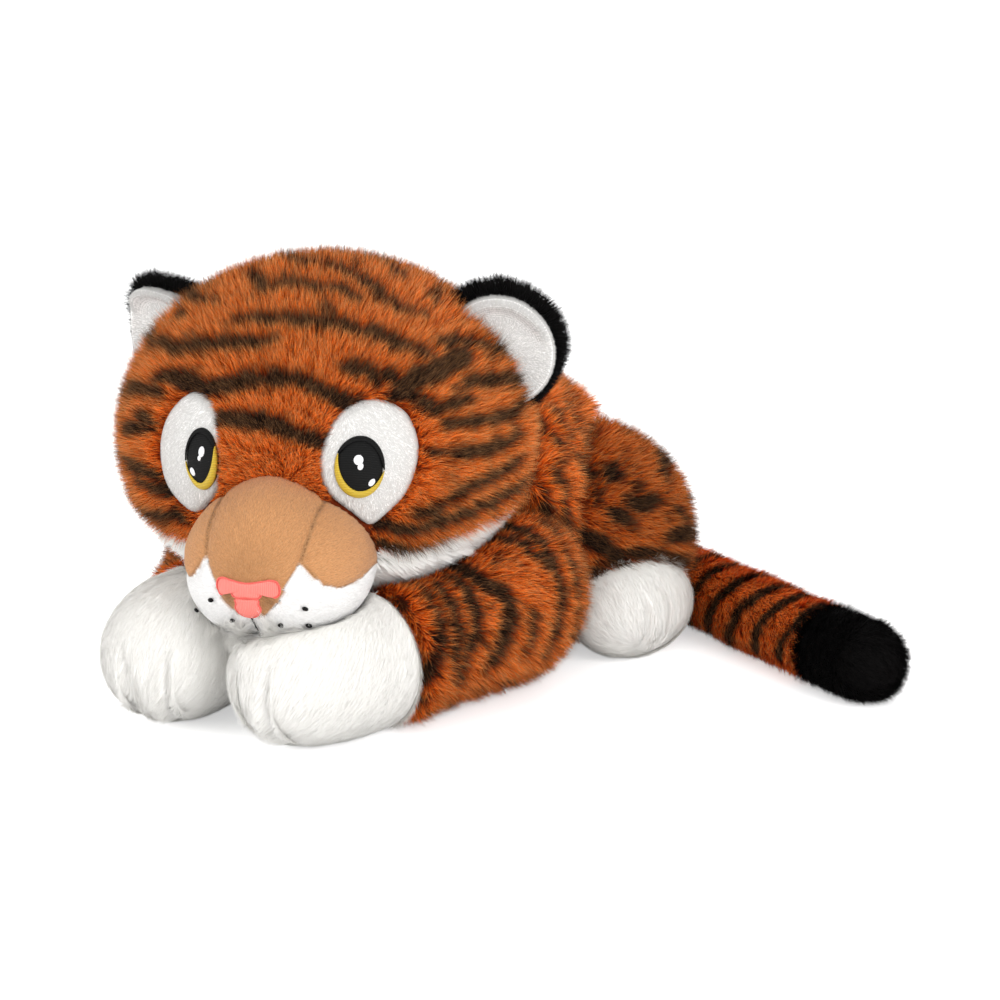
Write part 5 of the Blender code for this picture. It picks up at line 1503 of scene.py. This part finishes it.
def sewing_tree():
    """Short fat stitches laid end to end along a line."""
    group = blank_tree("sewing", ("Stitch pitch", "Stitch length", "Thread thickness"))
    nodes, links = group.nodes, group.links
    given = nodes.new("NodeGroupInput")
    result = nodes.new("NodeGroupOutput")
    line = nodes.new("GeometryNodeMeshToCurve")
    even = nodes.new("GeometryNodeResampleCurve")
    even.mode = "LENGTH"
    bead = nodes.new("GeometryNodeMeshUVSphere")
    bead.inputs["Segments"].default_value = 8
    bead.inputs["Rings"].default_value = 6
    bead.inputs["Radius"].default_value = 0.5
    tangent = nodes.new("GeometryNodeInputTangent")
    aim = nodes.new("FunctionNodeAlignRotationToVector")
    aim.axis = "Z"
    size = nodes.new("ShaderNodeCombineXYZ")
    plant = nodes.new("GeometryNodeInstanceOnPoints")
    real = nodes.new("GeometryNodeRealizeInstances")
    dress = nodes.new("GeometryNodeSetMaterial")
    links.new(given.outputs["Geometry"], line.inputs["Mesh"])
    links.new(line.outputs["Curve"], even.inputs["Curve"])
    links.new(given.outputs["Stitch pitch"], even.inputs["Length"])
    links.new(even.outputs["Curve"], plant.inputs["Points"])
    links.new(bead.outputs["Mesh"], plant.inputs["Instance"])
    links.new(tangent.outputs["Tangent"], aim.inputs["Vector"])
    links.new(aim.outputs["Rotation"], plant.inputs["Rotation"])
    links.new(given.outputs["Thread thickness"], size.inputs["X"])
    links.new(given.outputs["Thread thickness"], size.inputs["Y"])
    links.new(given.outputs["Stitch length"], size.inputs["Z"])
    links.new(size.outputs[0], plant.inputs["Scale"])
    links.new(plant.outputs["Instances"], real.inputs["Geometry"])
    links.new(real.outputs["Geometry"], dress.inputs["Geometry"])
    links.new(given.outputs["Material"], dress.inputs["Material"])
    links.new(dress.outputs["Geometry"], result.inputs["Geometry"])
    return group


sewing_nodes = sewing_tree()


def sewn_line(name, points, surface, lift, pitch, length, thickness, material):
    """A row of stitches along a line that is drawn on the face as seen from the front."""
    flat = np.array(points, float)
    spot, out = surface(flat[:, 0], flat[:, 1])
    spots = from_head(spot + out * lift)
    path = bpy.data.meshes.new(name + " path")
    path.from_pydata(spots.tolist(), [(i, i + 1) for i in range(len(spots) - 1)], [])
    mesh = made_real(path, sewing_nodes, {
        "Stitch pitch": pitch, "Stitch length": length, "Thread thickness": thickness,
        "Material": material}, name)
    mesh.shade_smooth()
    lay_flat(mesh, "thread", to_head(places(mesh))[:, (0, 2)])
    return show(name, mesh)


bar_ring, stem_ring = (smooth_ring(both_halves(half), 160) for half in (nose_bar_half, nose_stem_half))
rims = (("nose_bar_rim", np.vstack((bar_ring, bar_ring[:1]))),
        ("nose_stem_rim", stem_ring[stem_ring[:, 1] < -0.0052]))
for name, ring in rims:
    rim = sewn_line(
        name, ring, on_muzzle, lift=0.0014, pitch=0.00036, length=0.00055, thickness=0.0009,
        material=rim_thread)
    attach(rim, "head")
mouth_top, mouth_length, mouth_sway = -0.0140, 0.0155, 0.0008
mouth_line = [
    (mouth_sway * math.sin(share * 3.1), mouth_top - mouth_length * share) for share in np.linspace(0, 1, 12)]
mouth = sewn_line(
    "mouth_stitches", mouth_line, on_muzzle, lift=0.0012, pitch=0.0011, length=0.0016, thickness=0.0007,
    material=black_thread)
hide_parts("mouth_stitch")
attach(mouth, "head")
dot_places = {"left": ((0.0222, -0.0096), (0.0118, -0.0172), (0.0218, -0.0184)),
              "right": ((-0.0172, -0.0076), (-0.0086, -0.0164), (-0.0272, -0.0156))}
dot_halves = (0.0011, 0.0008)
for side, spots in dot_places.items():
    for number, heart in enumerate(spots, 1):
        name = "whisker_dot_%s_%d" % (side, number)
        dot = padded_patch(
            name + "_stitches", oval(heart, dot_halves, lean=20, count=24), np.array(heart), on_muzzle,
            low=0.0006, high=0.0018, material=black_thread, rows=5)
        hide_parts(name)
        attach(dot, "head")

# The white short plush is coloured a grey of about 0.6: painted shade on plush that is white, on the eye
# patches and the ear linings.
patch_pile = pile_material(
    "white short plush",
    ((0.60, 0.585, 0.565), (0.64, 0.625, 0.605), (0.65, 0.64, 0.62), (0.66, 0.65, 0.635)), sheen=0.05)
patch_lie = dict(
    density=11.0e6, width=0.00034, length=0.0017, lay=0.86, clump=0.0, ragged=0.045, dull=0.95, light=1.0)
eye_middles = {"left": np.array((0.0364, 0.0036)), "right": np.array((-0.0328, 0.0038))}
eye_halves = {"left": np.array((0.0098, 0.0131)), "right": np.array((0.0080, 0.0132))}


eye_foot, eye_swell = 0.0008, 0.0022


def eye_rise(flat, side):
    """Height of the embroidered eye over the head at a place on it."""
    share = np.hypot(*((flat - eye_middles[side]) / eye_halves[side]).T)
    rounded = np.sqrt(np.maximum(0, 1 - (np.maximum(0, share - 0.80) / 0.22) ** 2))
    return eye_foot + eye_swell * rounded * (0.60 + 0.40 * (1 - share**2))


ribbon_profile = ((0, 0.0), (0.10, 0.7), (0.35, 1.0), (0.65, 1.0), (0.90, 0.7), (1, 0.0), (0.5, -0.6))


def laid_ribbon(name, side, outer, inner, lift, material):
    """A raised satin band on an eye, between an outer and an inner edge."""
    work = bmesh.new()
    rows = []
    for start, stop in zip(outer, inner):
        ring = []
        for across, rise in ribbon_profile:
            flat = start + (stop - start) * across
            spot, out = on_head(flat[:1], flat[1:])
            height = eye_rise(flat[None], side)[0] + lift * rise
            ring.append(work.verts.new(from_head(spot[0] + out[0] * height)))
        rows.append(ring)
    for near_row, far_row in zip(rows, rows[1:]):
        for index in range(len(ribbon_profile)):
            after = (index + 1) % len(ribbon_profile)
            work.faces.new((near_row[index], near_row[after], far_row[after], far_row[index]))
    work.faces.new(rows[0])
    work.faces.new(list(reversed(rows[-1])))
    bmesh.ops.recalc_face_normals(work, faces=work.faces)
    mesh = bpy.data.meshes.new(name)
    work.to_mesh(mesh)
    work.free()
    mesh.shade_smooth()
    lay_flat(mesh, "thread", to_head(places(mesh))[:, (0, 2)])
    return show(name, mesh, material)


def eye_edge(side, degrees, inset):
    """Places round an eye: 90 degrees is its top and 180 the side towards the nose."""
    angle = np.radians(degrees)
    sign = 1.0 if side == "left" else -1.0
    half = eye_halves[side][None] - np.reshape(inset, (-1, 1))
    return eye_middles[side] + np.stack((sign * half[:, 0] * np.cos(angle), half[:, 1] * np.sin(angle)), -1)


sparks = {
    "left": (((-0.0004, 0.0035), (0.0020, 0.0022), 0), ((0.0004, 0.0008), (0.0012, 0.0016), 15),
             ((0.0047, -0.0062), (0.0011, 0.0018), 35)),
    "right": (((0.0012, 0.0036), (0.0014, 0.0024), 8), ((0.0002, 0.0009), (0.0008, 0.0013), 10),
              ((-0.0036, -0.0054), (0.0011, 0.0019), -25))}
for side, sign in (("left", 1.0), ("right", -1.0)):
    middle = patch_hearts[side]
    patch = padded_patch(
        "eye_patch_skin_" + side, patch_rings[side], middle, on_head, low=-0.0036, high=0.0012,
        material=white_backing, crown=0.25, edge=0.14, rows=40)
    store(patch.data, "stripe", 0.0)
    from_eye = to_head(places(patch.data)) - (eye_middles[side][0], 0, eye_middles[side][1])
    from_eye[:, 1] = 0
    eye_share = np.hypot(from_eye[:, 0] / eye_halves[side][0], from_eye[:, 2] / eye_halves[side][1])
    shows = ((normals(patch.data) @ head_turn)[:, 1] < 0.1) & (eye_share > 0.90)
    downward = (unit(from_eye) * 0.6 + (sign * 0.2, 0, -0.8)) @ head_turn.T
    fur = grow_pile(
        patch, "eye_patch_fur_" + side, patch_pile, downward, 1.0, np.where(shows, 1.0, 0.0),
        seed=95 if side == "left" else 96, **patch_lie)
    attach(fur, "head")
    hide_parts("eye_patch_" + side)
    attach(patch, "head")
    full_ring = eye_edge(side, np.linspace(0, 360, 96, endpoint=False), 0.0)
    ball = padded_patch(
        "eye_ball_" + side, full_ring, eye_middles[side], on_head, low=-0.0002, high=0.0030,
        material=black_thread, crown=0.40, edge=0.22)
    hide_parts("eye_pupil_" + side)
    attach(ball, "head")
    turns = np.linspace(150, 352, 48)
    thick = 0.0001 + 0.0034 * np.sin(math.pi * np.linspace(0, 1, 48)) ** 0.75
    iris = laid_ribbon(
        "iris_" + side, side, eye_edge(side, turns, -0.0001), eye_edge(side, turns, thick), lift=0.0006,
        material=gold_thread)
    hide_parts("eye_iris_" + side)
    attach(iris, "head")
    turns = np.linspace(-6, 150, 40)
    thick = 0.0002 + 0.0018 * np.sin(math.pi * np.linspace(0, 1, 40)) ** 0.6
    lid = laid_ribbon(
        "eyelid_" + side, side, eye_edge(side, turns, -0.0003), eye_edge(side, turns, thick), lift=0.0007,
        material=black_thread)
    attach(lid, "head")
    for number, (offset, half, lean) in enumerate(sparks[side]):
        heart = eye_middles[side] + offset
        shine = padded_patch(
            "eye_shine_%s_%d" % (side, number + 1), oval(heart, half, lean, 32), heart, on_head,
            low=0.0016, high=0.0034 + 0.0004 * (number < 2), material=white_thread, rows=6)
        if number == 0:
            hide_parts("eye_highlight_" + side)
        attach(shine, "head")

# Ears: a cup of black long-pile fabric with a rolled lip of short white plush sewn inside it,
# each leaning back from the head and sewn to it along its foot.
ear_sizes = np.array((0.0288, 0.0125, 0.0280))
ear_side, ear_back, ear_height, ear_inset, ear_rise = 0.0795, 0.0075, 0.0420, 0.0140, 45.0
ear_splays = {"left": 12.0, "right": 28.0}
ear_scoop = np.array((0.0233, 0.0135, 0.0225))
ear_heart = np.array((0.0, 0.0082, 0.0))
ear_back_gap, ear_lining_gap = 0.0031, 0.0028
ear_lowered, ear_narrowed, ear_scale = 0.0022, 0.46, 0.96
lip_rise, lip_place, lip_width = 0.0046, 0.88, 0.12
cup_front, cup_depth, cup_grown = -0.0068, 0.0042, 1.07


def radial_way(own):
    return unit(own * (1, 0, 1) + 1e-6)


for side, sign in (("left", 1.0), ("right", -1.0)):
    rise = math.radians(ear_rise)
    outward = np.array((sign * math.cos(rise), 0, math.sin(rise)))
    pivot = np.array((sign * ear_side, ear_back, ear_height)) - outward * ear_inset
    lean = sign * (math.pi / 2 - rise)
    lean_turn = np.array(
        ((math.cos(lean), 0, math.sin(lean)), (0, 1, 0), (-math.sin(lean), 0, math.cos(lean))))
    ear_turn = head_turn @ turned(sign * ear_splays[side]) @ lean_turn
    ear_foot = from_head(pivot)

    def place_ear(points):
        """From the ear's own measures to the tiger's, with its foot laid on the head."""
        if side == "left":
            points = points - (0, 0, ear_lowered)
        else:
            narrow = 1 - ear_narrowed * ease(-0.3, 1.0, points[:, 2] / ear_sizes[2])
            points = points * (ear_scale, 1, ear_scale)
            points[:, 0] *= narrow
        spots = (points + (0, 0, ear_inset)) @ ear_turn.T + ear_foot
        away = ear_turn @ (0, 0, 1.0)
        out = pushed_out(spots, away, head_middle, head_sizes + 2 * seam_half, head_yaw)
        return spots + np.outer(out, away)

    mesh = ball_mesh("ear_skin_" + side, 5)
    ways = unit(places(mesh)) * ear_sizes - ear_heart
    share = np.ones(len(ways))
    into, _ = way_through(ear_heart, ways, np.array((0, -ear_sizes[1], 0)), ear_scoop + ear_back_gap)
    share = np.where((into > 0) & (into < share), into, share)
    own = ear_heart + ways * share[:, None]
    move_points(mesh, place_ear(own))
    mesh.shade_smooth()
    store(mesh, "stripe", 0.0)
    ear = show("ear_skin_" + side, mesh, black_backing)
    scooped = share < 0.995
    low_ear = ease(-0.016, -0.006, own[:, 2])
    rim = 0.45 + 0.75 * ease(-0.008, 0.020, own[:, 2] - sign * 0.5 * own[:, 0])
    fur = grow_pile(
        ear, "ear_fur_" + side, black_pile, (radial_way(own) + (0, 0.25, 0)) @ ear_turn.T,
        np.where(scooped, 0.25, 1.0) * (0.3 + 0.7 * low_ear) * rim, np.where(scooped, 0.0, 1.0),
        density=7.0e6, length=0.0058, lay=0.55, clump=0.30, clump_size=0.004,
        seed=101 if side == "left" else 102)
    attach(fur, "ear_" + side)
    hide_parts("ear_back_" + side)
    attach(ear, "ear_" + side)

    count_round, rings = 96, []
    angles = np.linspace(0, 2 * math.pi, count_round, endpoint=False)
    upper = ease(0.20, 1.00, np.sin(angles) - 0.9 * sign * np.cos(angles))
    around = np.stack((np.cos(angles), np.zeros(count_round), np.sin(angles)), -1)
    for share in np.linspace(0.06, 1.0, 24):
        lip = lip_rise * np.exp(-((share - lip_place) / lip_width) ** 2) * upper
        ring = around * ear_scoop * (cup_grown * share)
        ring[:, 1] = cup_front + cup_depth * (1 - share**2) - lip
        rings.append(ring)
    for share in (1.06, 1.08, 1.02, 0.8, 0.5, 0.12):
        grown = ear_scoop + ear_lining_gap
        inner = min(share * ear_scoop[0] / grown[0], 0.999)
        deep = -ear_sizes[1] + grown[1] * math.sqrt(1 - inner**2)
        ring = around * ear_scoop * share
        ring[:, 1] = max(deep, -0.0040)
        rings.append(ring)
    own = np.vstack(rings + [rings[0].mean(0, keepdims=True), rings[-1].mean(0, keepdims=True)])
    mesh = ring_mesh("ear_lining_skin_" + side, place_ear(own), count_round)
    store(mesh, "stripe", 0.0)
    lining = show("ear_lining_skin_" + side, mesh, white_backing)
    front = (normals(mesh) @ ear_turn)[:, 1] < 0.2
    fur = grow_pile(
        lining, "ear_lining_fur_" + side, patch_pile, radial_way(own) @ ear_turn.T, 1.0,
        np.where(front, 1.0, 0.0), seed=103 if side == "left" else 104, **patch_lie)
    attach(fur, "ear_" + side)
    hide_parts("ear_lining_" + side)
    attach(lining, "ear_" + side)
